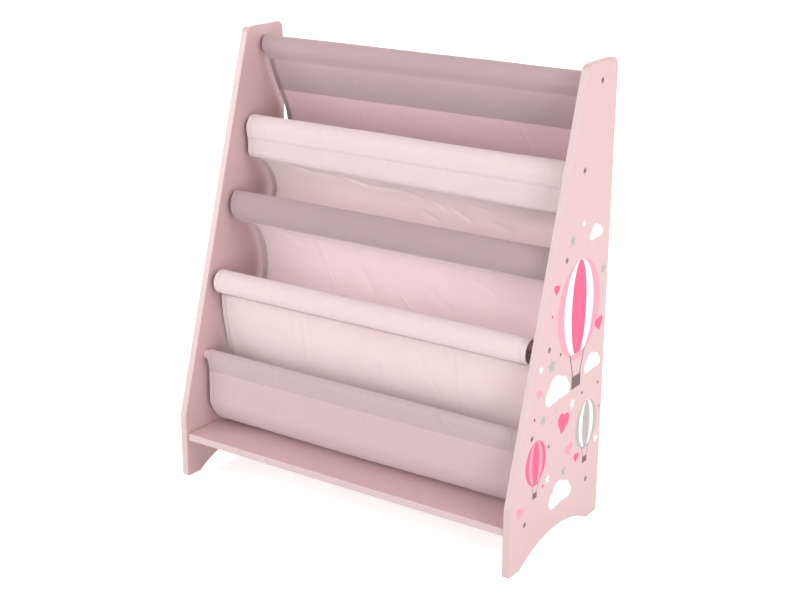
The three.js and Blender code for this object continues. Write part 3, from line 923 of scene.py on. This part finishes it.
def second_sheet(side):
    """Front wall of pocket 1, casing 2 with the flat band, and back wall of pocket 2."""
    layer = side.sewn_layer
    drop = side.band_drop()
    behind = side.seam(1, layer)
    front = side.seam(1, -layer)
    foot = behind + at(0, -drop + side.sizes.thickness)
    fold = front + at(0, -drop)
    upper, lower = side.back_wall(1, fold)
    near = fold + at(0, side.sizes.crisp)
    past = int(np.argmax(lengths_along(upper) >= side.sizes.crisp))
    corner = bezier(near, fold, fold, upper[past], 12)
    return [
        side.front_wall(0, foot), line(foot, behind), side.loop(1, behind, front),
        line(front, near), corner, upper[past:], lower,
    ]


def tube_sheet(side, i):
    """The front wall of a pocket and the casing it runs into, closed at the seam."""
    land, angle = side.landing(i)
    wall = side.front_wall(i - 1, land)
    seam = side.seam(i)
    loop = side.loop(i, None, seam, open_from=angle)
    centre, size = side.oval(i)
    inward = (centre - land) / np.linalg.norm(centre - land)
    close = line(seam, land + inward * side.sizes.thickness, 12)
    return [wall, loop, close]


def hung_sheet(side, i):
    """The back wall of a pocket, with its top edge lapped under the casing above it."""
    seam = side.seam(i)
    towards = side.landing(i)[0] - seam
    towards /= np.linalg.norm(towards)
    start = seam + at(towards[1], -towards[0]) * LAP_SHARE * side.sizes.thickness
    return [line(start + towards * side.sizes.lap, start), *side.back_wall(i, start)]


def bottom_sheet(side):
    """Front wall of the bottom pocket and the taut casing on the lowest rod."""
    last = ROD_COUNT - 1
    layer = side.sewn_layer
    front = side.seam(last, -layer)
    foot = front + at(-FRONT_LEAN + layer, -side.sizes.front_hang)
    wall = side.front_wall(last - 1, foot)
    loop = side.loop(last, side.seam(last, layer), front)[::-1]
    tail = side.seam(last, layer)
    return [wall, line(foot, front), loop, line(tail, tail + at(0.4 * MM, -8 * MM), 8)]


def columns(sizes):
    """Places across the cloth, close together at the hems and their stitching."""
    from_edge = [0, 0.12, 0.4, 0.9, 2, 4, 6, 7, 7.6, 8.2, 8.8, 9.5, 10.2, 11, 12.5]
    hem = np.array([CLOTH_HALF - d * MM for d in from_edge])
    inner = hem[-1] - sizes.column_step
    count = 2 * int(inner / sizes.column_step) + 1
    return np.concatenate([-hem, np.linspace(-inner, inner, count), hem[::-1]])


class Sheet:
    """A woven sheet: its middle surface as rows of points, and its two faces."""

    def __init__(self, name, lines_at, sizes, face=1, seed=0, calm=1.0, trim=(0.0, 0.0)):
        self.name = name
        self.sizes = sizes
        self.face = face
        even = columns(sizes)
        self.inside = (CLOTH_HALF - np.abs(even))[:, None]
        near_end = smoothstep(1 - self.inside[:, 0] / (60 * MM))
        self.x = even + np.where(even < 0, trim[0], -trim[1]) * near_end
        middle = lines_at(Side(sizes, 0.0))
        counts = [max(6, int(round(lengths_along(p)[-1] / sizes.row_step)) + 1) for p in middle]
        self.starts = np.concatenate([[0], np.cumsum([c - 1 for c in counts])])
        grid = []
        for x in self.x:
            side = Side(sizes, x / CLOTH_HALF)
            parts = [spaced(p, c) for p, c in zip(lines_at(side), counts)]
            grid.append(np.concatenate([parts[0]] + [p[1:] for p in parts[1:]]))
        self.grid = self.softened(np.array(grid))
        self.v = np.array([lengths_along(row) for row in self.grid])
        self.xs = np.repeat(self.x[:, None], self.grid.shape[1], axis=1)
        self.shade = np.ones(self.xs.shape)
        self.thin = np.full(self.xs.shape, LAYERED_GLOW)
        self.lift = np.zeros(self.xs.shape)
        self.seed = seed
        self.calm = calm
        self.seam_rows = []

    def softened(self, grid):
        """Rounds the corners of the lines as far as cloth does, and leaves their ends."""
        for _ in range(2):
            grid[:, 1:-1] = (grid[:, :-2] + 2 * grid[:, 1:-1] + grid[:, 2:]) / 4
        return grid

    def share(self, index):
        """How far along one stretch each row lies, 0 to 1 inside it."""
        first, last = self.starts[index], self.starts[index + 1]
        rows = np.arange(self.grid.shape[1])
        return np.clip((rows - first) / (last - first), 0, 1)

    def ripple(self):
        """Soft unevenness all over."""
        hills = sum(
            height * lattice_noise(self.xs, self.v, size_x, size_v, self.seed + k)
            for k, (size_x, size_v, height) in enumerate(RIPPLES))
        self.lift += self.calm * MM * hills

    def groove(self, away, depth, width, dark, dark_width):
        """The groove that thread pulls in, with painted shade along it."""
        self.lift -= depth * np.exp(-(away / width) ** 2)
        self.shade -= dark * np.exp(-(away / dark_width) ** 2)

    def pucker(self, row):
        """Small gathers beside a line of stitching, and its groove with painted shade."""
        height, reach = 0.35 * MM, 12 * MM
        away = np.abs(self.v - self.v[:, row][:, None])
        waves = lattice_noise(self.xs, self.v * 0, 0.006, 1.0, self.seed + 7 + row)
        self.lift += height * waves * np.exp(-away / reach * 2.2)
        self.groove(away, 0.35 * MM, 1.1 * MM, 0.10, 0.9 * MM)

    def crease(self, start_x, start_v, end_x, end_v, height, width):
        """A pulled crease between two places, each across and along the sheet."""
        a, b = np.array((start_x, start_v)), np.array((end_x, end_v))
        along = b - a
        t = ((self.xs - a[0]) * along[0] + (self.v - a[1]) * along[1]) / (along @ along)
        wobble = lattice_noise(self.xs, self.v, 0.03, 0.03, self.seed + 20) * 1.2 * MM
        t_in = np.clip(t, 0, 1)
        near_x, near_v = a[0] + along[0] * t_in, a[1] + along[1] * t_in
        away = np.hypot(self.xs - near_x, self.v - near_v) + wobble * (np.abs(along[1]) > 0)
        fade = smoothstep(np.minimum(t, 1 - t) * 4 + 0.35)
        if width < 5.5 * MM:
            shape = np.clip(1 - np.abs(away) / width, 0, 1) ** 1.6
        else:
            shape = np.exp(-(away / (0.6 * width)) ** 2)
        self.lift += 1.2 * height * fade * shape

    def faces(self):
        """The two faces of the sheet as grids of points, the right side of the cloth first."""
        along = np.gradient(self.grid, axis=1)
        along /= np.maximum(np.linalg.norm(along, axis=2), 1e-9)[:, :, None]
        normal = np.stack([along[:, :, 1], -along[:, :, 0]], axis=2) * self.face
        middle = self.grid + normal * self.lift[:, :, None]
        hem = smoothstep((self.sizes.hem_width + 0.8 * MM - self.inside) / (1.2 * MM))
        near = np.clip(self.inside / (0.9 * MM), 0, 1)
        round_off = np.sqrt(np.clip(1 - (1 - near) ** 2, 0.0, 1))
        half = self.sizes.thickness / 2
        outer, inner = ((half + more * hem) * round_off + RIM for more in HEM_RAISE)
        self.normal = normal
        self.front = middle + normal * outer[:, :, None]
        return self.front, middle - normal * inner[:, :, None]

    def paint_fold_light_and_shade(self):
        """Painted light and shade on each fold and crease: lighter where it faces up, darker where
        it faces down, and darker on the side that faces left.
        """
        step = np.gradient(self.v, axis=1)
        down = -np.gradient(self.grid[:, :, 1], axis=1) / step
        along = np.gradient(self.lift, axis=1) / step * down
        across = np.gradient(self.lift, self.x, axis=0)
        calm = smoothstep((self.inside - self.sizes.hem_width) / (3 * MM))
        contrast, steepest = 0.22, 0.3
        along, across = (
            contrast * np.clip(slope, -steepest, steepest) for slope in (along, across))
        self.shade += calm * (along - across)

    def hem_grooves(self):
        """The grooves of the stitching in the side hems, with painted shade along them."""
        away = np.abs(self.inside - (self.sizes.hem_width - HEM_STITCH))
        self.groove(away, 0.25 * MM, 0.7 * MM, 0.12, 0.7 * MM)

    def paint_hem_shade(self, depth, start):
        """Painted shade where the side hem lies folded over several times, from one stretch on;
        there it also lets less light through.
        """
        strip = smoothstep((self.sizes.hem_width + 0.5 * MM - self.inside) / (1.0 * MM))
        below = np.arange(self.xs.shape[1]) > self.starts[start]
        self.shade *= 1 - depth * strip * below
        self.thin -= 0.6 * self.thin * strip * below

    def let_light_through(self, amount, start):
        """A single layer with nothing behind it, from one stretch on, with painted light that makes
        it lighter low in the pocket.
        """
        self.thin[:, self.starts[start]:] = amount
        below = self.v - self.v[:, self.starts[start]][:, None]
        self.shade *= 1 + self.sizes.painted_pocket_light * smoothstep((below - 30 * MM) / (90 * MM))

    def mesh_data(self, first=0):
        """Vertices, faces, UVs and shades of the closed sheet."""
        front, back = self.faces()
        nx, nv = self.xs.shape
        points = np.concatenate([
            np.dstack([self.xs, grid]).reshape(-1, 3) for grid in (front, back)])
        index = np.arange(nx * nv).reshape(nx, nv)
        a, b, c, d = index[:-1, :-1], index[:-1, 1:], index[1:, 1:], index[1:, :-1]
        right = np.stack([a, b, c, d], axis=-1).reshape(-1, 4)
        other = nx * nv
        left = right[:, ::-1] + other
        rims = []
        for one, flip in (
            (index[0], False), (index[-1], True), (index[:, 0], True), (index[:, -1], False),
        ):
            quad = np.stack([one[:-1], one[1:], one[1:] + other, one[:-1] + other], axis=-1)
            rims.append(quad if flip else quad[:, ::-1])
        quads = np.concatenate([right, left] + rims)
        if self.face < 0:
            quads = quads[:, ::-1]
        uv = np.stack([self.xs, self.v], axis=-1).reshape(-1, 2)
        looks = np.stack([self.shade, self.thin], axis=-1).reshape(-1, 2)
        return points, quads + first, np.concatenate([uv, uv]), np.concatenate([looks, looks])


def build_cloth(name, sheets, material):
    """One mesh object of one or more sheets, with its UV map and looks."""
    made, count = [], 0
    for sheet in sheets:
        made.append(sheet.mesh_data(count))
        count += len(made[-1][0])
    points, quads, uvs, looks = (np.concatenate(parts) for parts in zip(*made))
    piece = mesh_piece(name, points, quads.tolist(), material)
    mesh = piece.data
    layer = mesh.uv_layers.new(name="cloth")
    corner = np.zeros(len(mesh.loops), np.int32)
    mesh.loops.foreach_get("vertex_index", corner)
    layer.data.foreach_set("uv", uvs[corner].astype(np.float32).ravel())
    for k, title in enumerate(("shade", "thin")):
        attribute = mesh.attributes.new(title, "FLOAT", "POINT")
        attribute.data.foreach_set("value", looks[:, k].astype(np.float32))
    return piece


def stitch_shape():
    """One stitch along +X, lying on z = 0, as points and faces with six sides."""
    sides = 6
    stations = [
        (-0.5, 0.35, -0.6), (-0.36, 1.0, 0.15), (0.0, 1.1, 0.35), (0.36, 1.0, 0.15),
        (0.5, 0.35, -0.6),
    ]
    points, faces = [], []
    for x, girth, up in stations:
        for k in range(sides):
            angle = 2 * math.pi * k / sides
            points.append((x, math.cos(angle) * girth, math.sin(angle) * girth + up))
    for r in range(len(stations) - 1):
        for k in range(sides):
            a, b = r * sides + k, r * sides + (k + 1) % sides
            faces.append((a, b, b + sides, a + sides)[::-1])
    last = (len(stations) - 1) * sides
    faces.append(tuple(range(sides)))
    faces.append(tuple(last + k for k in range(sides))[::-1])
    return np.array(points), faces


def stitches(name, places, material):
    """A row of stitches. Each place is (point, direction, outward normal, length)."""
    shape, shape_faces = stitch_shape()
    points, faces = [], []
    for point, along, out, length in places:
        along = along / np.linalg.norm(along)
        out = out - along * (out @ along)
        out = out / np.linalg.norm(out)
        across = np.cross(out, along)
        base = len(points) * len(shape)
        scaled = shape * np.array([length, STITCH_GIRTH, STITCH_GIRTH])
        points.append(point + scaled @ np.stack([along, across, out]))
        faces.extend([tuple(i + base for i in face) for face in shape_faces])
    return mesh_piece(name, np.concatenate(points), faces, material)


def read_off(where, places, values):
    """A place in the side view between the given ones."""
    return np.array([np.interp(where, places, values[:, k]) for k in (0, 1)])


def row_places(sheet, row, margin=3 * MM):
    """Stitch places along one row of a sheet's right side."""
    pitch = sheet.sizes.stitch_pitch
    count = int((sheet.x[-1] - sheet.x[0] - 2 * margin) / pitch)
    surface, normals = sheet.front[:, row], sheet.normal[:, row]
    made = []
    for x in sheet.x[0] + margin + pitch * (np.arange(count) + 0.5):
        here = read_off(x, sheet.x, surface)
        ahead = read_off(x + pitch, sheet.x, surface) - here
        out = read_off(x, sheet.x, normals)
        made.append((
            np.array([x, *here]), np.array([pitch, *ahead]), np.array([0, *out]),
            pitch * STITCH_SHARE))
    return made


def hem_places(sheet):
    """Stitch places down both side hems of a sheet's right side."""
    pitch = sheet.sizes.stitch_pitch
    margin = 2 * MM
    made = []
    away = np.abs(sheet.inside[:, 0] - sheet.sizes.hem_width + HEM_STITCH)
    for column in np.argsort(away, kind="stable")[:2]:
        surface, normals, v = sheet.front[column], sheet.normal[column], sheet.v[column]
        for down in np.arange(margin, v[-1] - margin, pitch):
            here = read_off(down, v, surface)
            direction = np.array([0, *(read_off(down + pitch / 2, v, surface) - here)])
            if np.linalg.norm(direction) > 1e-6:
                out = np.array([0, *read_off(down, v, normals)])
                point = np.array([sheet.x[column], *here])
                made.append((point, direction, out, pitch * STITCH_SHARE))
    return made


def woven_sheets(sizes):
    """The seven woven sheets with their seams, creases, doubled cloth and painted light and shade.
    """
    first = Sheet("first", top_sheet, sizes, seed=11, calm=0.8)
    second = Sheet("second", second_sheet, sizes, seed=23, calm=0.8)
    third = Sheet("third", lambda side: tube_sheet(side, 2), sizes, seed=37, calm=0.6)
    fourth = Sheet("fourth", lambda side: hung_sheet(side, 2), sizes, seed=41)
    fifth = Sheet("fifth", lambda side: tube_sheet(side, 3), sizes, seed=53, calm=0.6,
                  trim=(0.0, 4 * MM))
    fifth_wall = Sheet("fifth_wall", lambda side: hung_sheet(side, 3), sizes, seed=61)
    sixth = Sheet("sixth", bottom_sheet, sizes, face=-1, seed=71, calm=0.7, trim=(2 * MM, 0.0))
    # Painted shade over the whole first sheet.
    first.shade *= 0.92
    # From its flat band on, the second sheet's left end lies a little further in.
    notch = smoothstep((np.arange(second.xs.shape[1]) - second.starts[3]) / 2)
    left_end = smoothstep(1 - second.inside / (40 * MM)) * (second.x < 0)[:, None]
    second.xs += 1.5 * MM * left_end * notch
    for sheet, start, past in (
        (first, 2, 1), (second, 3, 1), (fourth, 1, 0), (fifth_wall, 1, 0), (sixth, 2, -1),
    ):
        sheet.seam_rows = [sheet.starts[start] + past]
    sheets = [first, second, third, fourth, fifth, fifth_wall, sixth]
    for sheet in sheets:
        sheet.ripple()
        sheet.hem_grooves()
        for row in sheet.seam_rows:
            sheet.pucker(row)
        for crease in CREASES[sheet.name]:
            sheet.crease(*(value * MM for value in crease))
        sheet.paint_fold_light_and_shade()
    # The first sheet's spare cloth lies behind its wall down to its pressed edge. Down to there the
    # wall gets painted shade, deeper towards that edge, with painted light just below the casing;
    # below it the wall is single and painted lighter.
    double = first.share(2) * (first.v[0, first.starts[3]] - first.v[0, first.starts[2]])
    inside = (double > 0) & (double < sizes.allowance)
    pressed = 0.2 * np.exp(-double / (6 * MM))
    double_painted_shade = 0.935 + pressed - 0.08 * double / sizes.allowance
    first.shade *= np.where(inside, double_painted_shade, 1.0)[None, :]
    first.shade[:, double >= sizes.allowance] *= 1.28
    # The lapped top edges lie under their casings, in shade.
    for sheet in (fourth, fifth_wall):
        sheet.shade[:, :sheet.starts[1] + 1] *= 0.9
    # Each wall of single cloth: the stretch it starts at, the share of light that it lets through,
    # how much painted shade its hems get, and its painted lightness.
    for sheet, start, amount, depth, painted_lightness in (
        (first, 2, 0.25, 0.38, 1.0), (second, 5, 0.34, 0.26, 1.12),
        (fourth, 1, 0.38, 0.24, 1.08), (fifth_wall, 1, 0.30, 0.16, 1.05),
    ):
        sheet.let_light_through(amount, start)
        sheet.shade[:, sheet.starts[start]:] *= painted_lightness
        if sheet is first:
            sheet.thin[:, inside] = 0.14
        sheet.paint_hem_shade(depth, start)
    # The lightness of whole sheets and stretches that lie deeper in each other's shade.
    second.shade[:, second.starts[3]:] *= 0.97
    third.shade *= 0.85
    sixth.shade[:, sixth.starts[2]:] *= 0.92
    return sheets


def finish_cloth(number, name, sheets, cloth, thread):
    piece = build_cloth(name, sheets, cloth)
    places = []
    for sheet in sheets:
        for row in sheet.seam_rows:
            places += row_places(sheet, row)
        places += hem_places(sheet)
    sewing = stitches(f"stitching_{number}", places, thread)
    declare(sewing)
    declare(piece, f"cloth_panel_{number}")


class SHELF_OT_cloth(bpy.types.Operator):
    """Build the six sewn cloth panels with their hems and stitching"""

    bl_idname = "shelf.cloth"
    bl_label = "Cloth"

    def execute(self, context):
        colours = context.scene.shelf_colours
        mauve = cloth_material("mauve cotton", colours.mauve)
        # The bottom cloth gets the mauve with painted light, paler and greyer for how it is lit.
        mauve_with_painted_light = cloth_material("lower mauve cotton", colours.mauve_with_painted_light)
        pale = cloth_material("pale cotton", colours.pale)
        rose = cloth_material("rose cotton", colours.rose_cloth)
        mauve_thread = thread_material("mauve thread", [c * 0.94 for c in colours.mauve])
        pale_thread = thread_material("pale thread", [c * 0.95 for c in colours.pale])

        first, second, third, fourth, fifth, fifth_wall, sixth = woven_sheets(
            context.scene.shelf_cloth)
        for number, (name, slot, sheets, cloth, thread, rod) in enumerate((
            ("cloth_casing_1", "mauve_cloth", [first], mauve, mauve_thread, "rod_1"),
            ("cloth_casing_2", "pale_cloth", [second], pale, pale_thread, "rod_2"),
            ("cloth_casing_3", "mauve_cloth", [third], mauve, mauve_thread, "rod_3"),
            ("cloth_back_3", "rose_cloth", [fourth], rose, pale_thread, "rod_3"),
            ("cloth_casing_4", "pale_cloth", [fifth, fifth_wall], pale, pale_thread, "rod_4"),
            ("cloth_casing_5", "mauve_cloth", [sixth], mauve_with_painted_light, mauve_thread, "rod_5"),
        ), 1):
            finish_cloth(number, name, sheets, cloth, thread)
        return {"FINISHED"}


# Print

def printed(name, sides, place, radius, level, stretch=1.0, turn=0.0):
    """A thin flat patch of ink on the right panel's outer face, round or with corners."""
    start = OUTER_HALF - INK_FILM
    end = OUTER_HALF + INK_FILM * (level + 1)
    piece = bar(name, start, end, place, radius, sides=sides)
    pivot = dict(center_override=((start + end) / 2, *place), orient_type="GLOBAL")
    with editing(piece):
        bpy.ops.transform.resize(value=(1, 1, stretch), **pivot)
        bpy.ops.transform.rotate(value=turn, orient_axis="X", **pivot)
    return piece


def about(place):
    """The pivot of a change at a place on the right panel's outer face."""
    return dict(center_override=(OUTER_HALF, *place), orient_type="GLOBAL")


def merged(pieces):
    """One shape from several that overlap."""
    first = pieces[0]
    for other in pieces[1:]:
        combined(first, other, "UNION")
    return first


def strip(name, start, end, width, level):
    """A straight printed line between two places."""
    middle = ((start[0] + end[0]) / 2, (start[1] + end[1]) / 2)
    back, up = end[0] - start[0], end[1] - start[1]
    half = math.hypot(back, up) / 2
    low = Vector((OUTER_HALF - INK_FILM, middle[0] - half, middle[1] - width / 2))
    high = Vector((OUTER_HALF + INK_FILM * (level + 1), middle[0] + half, middle[1] + width / 2))
    piece = block(name, low, high)
    with editing(piece):
        bpy.ops.transform.rotate(value=-math.atan2(up, back), orient_axis="X", **about(middle))
    return piece


def cloud(place, size):
    """Four round puffs in a row."""
    puffs = ((-0.52, -0.10, 0.36), (-0.10, 0.10, 0.52), (0.38, 0.02, 0.42), (0.72, -0.14, 0.26))
    return merged([
        printed("cloud", 32, (place[0] + size * back, place[1] + size * up), size * girth, 0)
        for back, up, girth in puffs
    ])


def heart(place, size, turn):
    """A square on its point with two round lobes."""
    def turned(back, up):
        cos, sin = math.cos(turn), math.sin(turn)
        return place[0] + size * (back * cos + up * sin), place[1] + size * (up * cos - back * sin)

    half = 0.5
    lobes = [
        printed("heart", 32, turned(side * half / 2, half / 2), size * half * math.sqrt(0.5), 0)
        for side in (-1, 1)
    ]
    square = printed("heart", 4, turned(0, 0), size * half, 0, turn=turn)
    return merged([square] + lobes)


def star(place, size, turn):
    """A five-pointed star."""
    points = 5
    piece = printed("star", 2 * points, place, size, 0, turn=turn)

    def is_notch(vertex):
        away = math.atan2(vertex.co.z - place[1], vertex.co.y - place[0]) + turn
        return round(away / (math.pi / points) + 0.001) % 2 == 0

    with editing(piece, "DESELECT"):
        pick(piece, "VERT", is_notch)
        bpy.ops.transform.resize(value=(1, 0.5, 0.5), **about(place))
    return piece


def dot(place):
    """A small round dot."""
    return printed("dot", 20, place, DOT, 0)


def balloon(place, size, skin, gore, middle, basket, inks):
    """A hot-air balloon with upright gores, ropes and a basket."""
    tall = 1.14
    for ink, girth, level in ((skin, 1.0, 0), (gore, 0.68, 1), (middle, 0.34, 2)):
        piece = printed("gore", 64, place, size, level, stretch=tall)
        with editing(piece):
            bpy.ops.transform.resize(value=(1, girth, 1), **about(place))
        inks[ink].append(piece)
    mouth = place[1] - 0.98 * tall * size
    floor = place[1] - 1.62 * size
    for side in (-1, 1):
        inks[basket].append(strip(
            "rope", (place[0] + side * 0.34 * size, mouth + 0.10 * size),
            (place[0] + side * 0.15 * size, floor), 0.035 * size, 0))
    for ink, name, half, up, width, level in (
        (basket, "basket", 0.21, floor - 0.11 * size, 0.30, 1),
        (skin, "skirt", 0.26, mouth + 0.01 * size, 0.14, 3),
    ):
        inks[ink].append(strip(
            name, (place[0] - half * size, up), (place[0] + half * size, up),
            width * size, level))


# The balloons of the print: place, size and the inks of the skin, gores, middle and basket.
BALLOONS = (
    ((0.048, 0.362), 0.066, "rose", "white", "hot_pink", "brown"),
    ((0.088, 0.165), 0.034, "grey", "white", "grey", "brown"),
    ((-0.068, 0.158), 0.030, "hot_pink", "rose", "hot_pink", "brown"),
)

# The small motifs: shape, ink, and each one's place to the back and up, size and turn.
MOTIFS = (
    (cloud, "white", (
        (-0.010, 0.252, 0.040), (0.098, 0.262, 0.028), (0.010, 0.078, 0.038),
        (0.092, 0.468, 0.022))),
    (heart, "hot_pink", (
        (0.012, 0.190, 0.030, 0.25), (0.116, 0.318, 0.020, -0.2), (-0.024, 0.408, 0.014, 0.2),
        (0.060, 0.118, 0.014, 0.1))),
    (heart, "rose", (
        (0.036, 0.140, 0.020, -0.3), (-0.066, 0.262, 0.014, 0.4), (-0.112, 0.092, 0.018, 0.3))),
    (star, "grey", (
        (-0.030, 0.296, 0.013, 0.2), (0.122, 0.405, 0.010, 0.6), (0.020, 0.112, 0.010, 0.4),
        (-0.050, 0.218, 0.009, 0.0), (0.020, 0.472, 0.010, 0.3))),
    (star, "white", (
        (-0.062, 0.300, 0.007, 0.5), (0.040, 0.214, 0.009, 0.1), (-0.030, 0.118, 0.008, 0.3),
        (0.124, 0.128, 0.008, 0.7), (0.052, 0.490, 0.006, 0.9))),
    (dot, "brown", (
        (-0.004, 0.306), (-0.076, 0.228), (0.070, 0.222), (-0.030, 0.170), (0.122, 0.222))),
    (dot, "rose", ((-0.010, 0.220), (0.124, 0.366), (-0.024, 0.206))),
    (dot, "hot_pink", ((-0.034, 0.372), (0.130, 0.180), (-0.044, 0.112))),
)


class SHELF_OT_print(bpy.types.Operator):
    """Print the generic sky pattern on the right panel's outer face"""

    bl_idname = "shelf.print"
    bl_label = "Print"

    def execute(self, context):
        colours = context.scene.shelf_colours
        inks = {name: [] for name in ("hot_pink", "rose", "grey", "brown", "white")}
        for values in BALLOONS:
            balloon(*values, inks)
        for motif, ink, placed in MOTIFS:
            for back, up, *rest in placed:
                inks[ink].append(motif((back, up), *rest))
        for ink, pieces in inks.items():
            only(pieces[0])
            for piece in pieces:
                piece.select_set(True)
            bpy.ops.object.join()
            joined = context.active_object
            joined.name = f"print_{ink}"
            coat(joined, paint_material(f"{ink} ink", getattr(colours, ink)))
            declare(joined)
        return {"FINISHED"}


# Stage

def stage_material(name, lift):
    """A pale floor that the camera and reflections see as white, with the object's soft shadow."""
    recipe = recipe_for(name)
    seen = recipe.seen()
    away = recipe.node("ShaderNodeVectorMath", {0: recipe.place()}, operation="LENGTH")
    far = recipe.math("MULTIPLY", recipe.math("MINIMUM", away.outputs["Value"], 4.0), 0.08)
    return recipe.finished({
        "Base Color": (0.8, 0.8, 0.8, 1),
        "Roughness": 0.9,
        "Specular IOR Level": 0.0,
        "Emission Color": (1, 1, 1, 1),
        "Emission Strength": recipe.math("MULTIPLY", seen, recipe.math("ADD", far, lift)),
    })


def white_world(strength, colour):
    """Even light with a faint tint, and white behind the object."""
    world = bpy.data.worlds.new("studio")
    bpy.context.scene.world = world
    recipe = Recipe(world)
    dim = [strength * c for c in linear(colour)[:3]]
    inputs = {0: recipe.seen(), 1: [1 - c for c in dim], 2: dim}
    blend = recipe.node("ShaderNodeVectorMath", inputs, operation="MULTIPLY_ADD")
    recipe.feed(recipe.tree.nodes["Background"], {"Color": blend.outputs[0]})


def soft_lamp(name, place, size, power):
    """A large square lamp that looks at the middle of the rack."""
    bpy.ops.object.light_add(type="AREA", location=place)
    lamp = bpy.context.active_object
    lamp.name = name
    lamp.data.size = size
    lamp.data.energy = power
    lamp.rotation_mode = "QUATERNION"
    lamp.rotation_quaternion = (Vector(LAMP_TARGET) - Vector(place)).to_track_quat("-Z", "Y")
    lamp.visible_glossy = True


def place_camera(scene, values):
    """The photograph's camera."""
    bpy.ops.object.select_all(action="DESELECT")
    bpy.ops.object.camera_add()
    camera = bpy.context.active_object
    yaw, pitch, roll = values.camera_yaw, values.camera_pitch, values.camera_roll
    ahead = Vector((
        -math.sin(yaw) * math.cos(pitch), math.cos(yaw) * math.cos(pitch), -math.sin(pitch)))
    right = Vector((math.cos(yaw), math.sin(yaw), 0))
    up = right.cross(ahead)
    rolled = right * math.cos(roll) + up * math.sin(roll)
    up = rolled.cross(ahead)
    turn = Matrix((rolled, up, -ahead)).transposed().to_4x4()
    camera.matrix_world = Matrix.Translation(values.camera_place) @ turn
    camera.data.sensor_width = SENSOR_WIDTH
    camera.data.lens = values.camera_lens
    camera.data.clip_end = 50
    scene.camera = camera


class SHELF_OT_stage(bpy.types.Operator):
    """Build the camera, the floor and the lights"""

    bl_idname = "shelf.stage"
    bl_label = "Stage"

    def execute(self, context):
        values = context.scene.shelf_stage
        context.scene.view_settings.view_transform = "Standard"
        place_camera(context.scene, values)

        bpy.ops.object.select_all(action="DESELECT")
        bpy.ops.mesh.primitive_plane_add(size=FLOOR_SIZE, location=(0, 0, 0))
        floor = context.active_object
        floor.name = "floor"
        floor.data.materials.append(stage_material("pale floor", values.floor_lift))

        white_world(values.world_strength, values.world_colour)
        for name, place, size, power in (
            ("front lamp", (-0.35, -3.10, 1.15), 1.6, values.front_power),
            ("left lamp", (-2.40, -1.90, 1.20), 1.3, values.left_power),
            ("top lamp", (-0.20, -2.00, 2.60), 1.5, values.top_power),
            ("right lamp", (2.50, -0.45, 2.30), 1.2, values.right_power),
            ("low lamp", (2.60, -1.60, 0.25), 1.2, values.low_power),
            ("side lamp", (2.85, 0.75, 0.95), 1.5, values.side_power),
            ("back lamp", (-1.80, 2.00, 2.00), 1.4, values.back_power),
        ):
            soft_lamp(name, place, size, power)
        return {"FINISHED"}


# Panel, registration and run

class SHELF_PT_sidebar(bpy.types.Panel):
    """Lists the bookshelf's operators and sizes"""

    bl_idname = "SHELF_PT_sidebar"
    bl_label = "Sling Bookshelf"
    bl_space_type = "VIEW_3D"
    bl_region_type = "UI"
    bl_category = "Bookshelf"

    def draw(self, context):
        layout = self.layout
        for operator in OPERATORS:
            layout.operator(operator.bl_idname)
        for group in GROUPS:
            values = getattr(context.scene, group)
            for name in values.bl_rna.properties.keys():
                if name not in ("rna_type", "name"):
                    layout.prop(values, name)


OPERATORS = (
    SHELF_OT_boards, SHELF_OT_rods, SHELF_OT_screws, SHELF_OT_cloth, SHELF_OT_print, SHELF_OT_stage,
)
GROUPS = {
    "shelf_panels": PanelSizes,
    "shelf_cloth": ClothSizes,
    "shelf_colours": ShelfColours,
    "shelf_stage": StageValues,
}


def register():
    for group in GROUPS.values():
        bpy.utils.register_class(group)
    for operator in OPERATORS:
        bpy.utils.register_class(operator)
    bpy.utils.register_class(SHELF_PT_sidebar)
    for name, group in GROUPS.items():
        setattr(bpy.types.Scene, name, bpy.props.PointerProperty(type=group))


def unregister():
    for name in GROUPS:
        delattr(bpy.types.Scene, name)
    bpy.utils.unregister_class(SHELF_PT_sidebar)
    for operator in reversed(OPERATORS):
        bpy.utils.unregister_class(operator)
    for group in reversed(list(GROUPS.values())):
        bpy.utils.unregister_class(group)


def main():
    register()
    bpy.ops.shelf.boards()
    bpy.ops.shelf.rods()
    bpy.ops.shelf.screws()
    bpy.ops.shelf.cloth()
    bpy.ops.shelf.print()
    bpy.ops.shelf.stage()


if __name__ == "__main__":
    main()
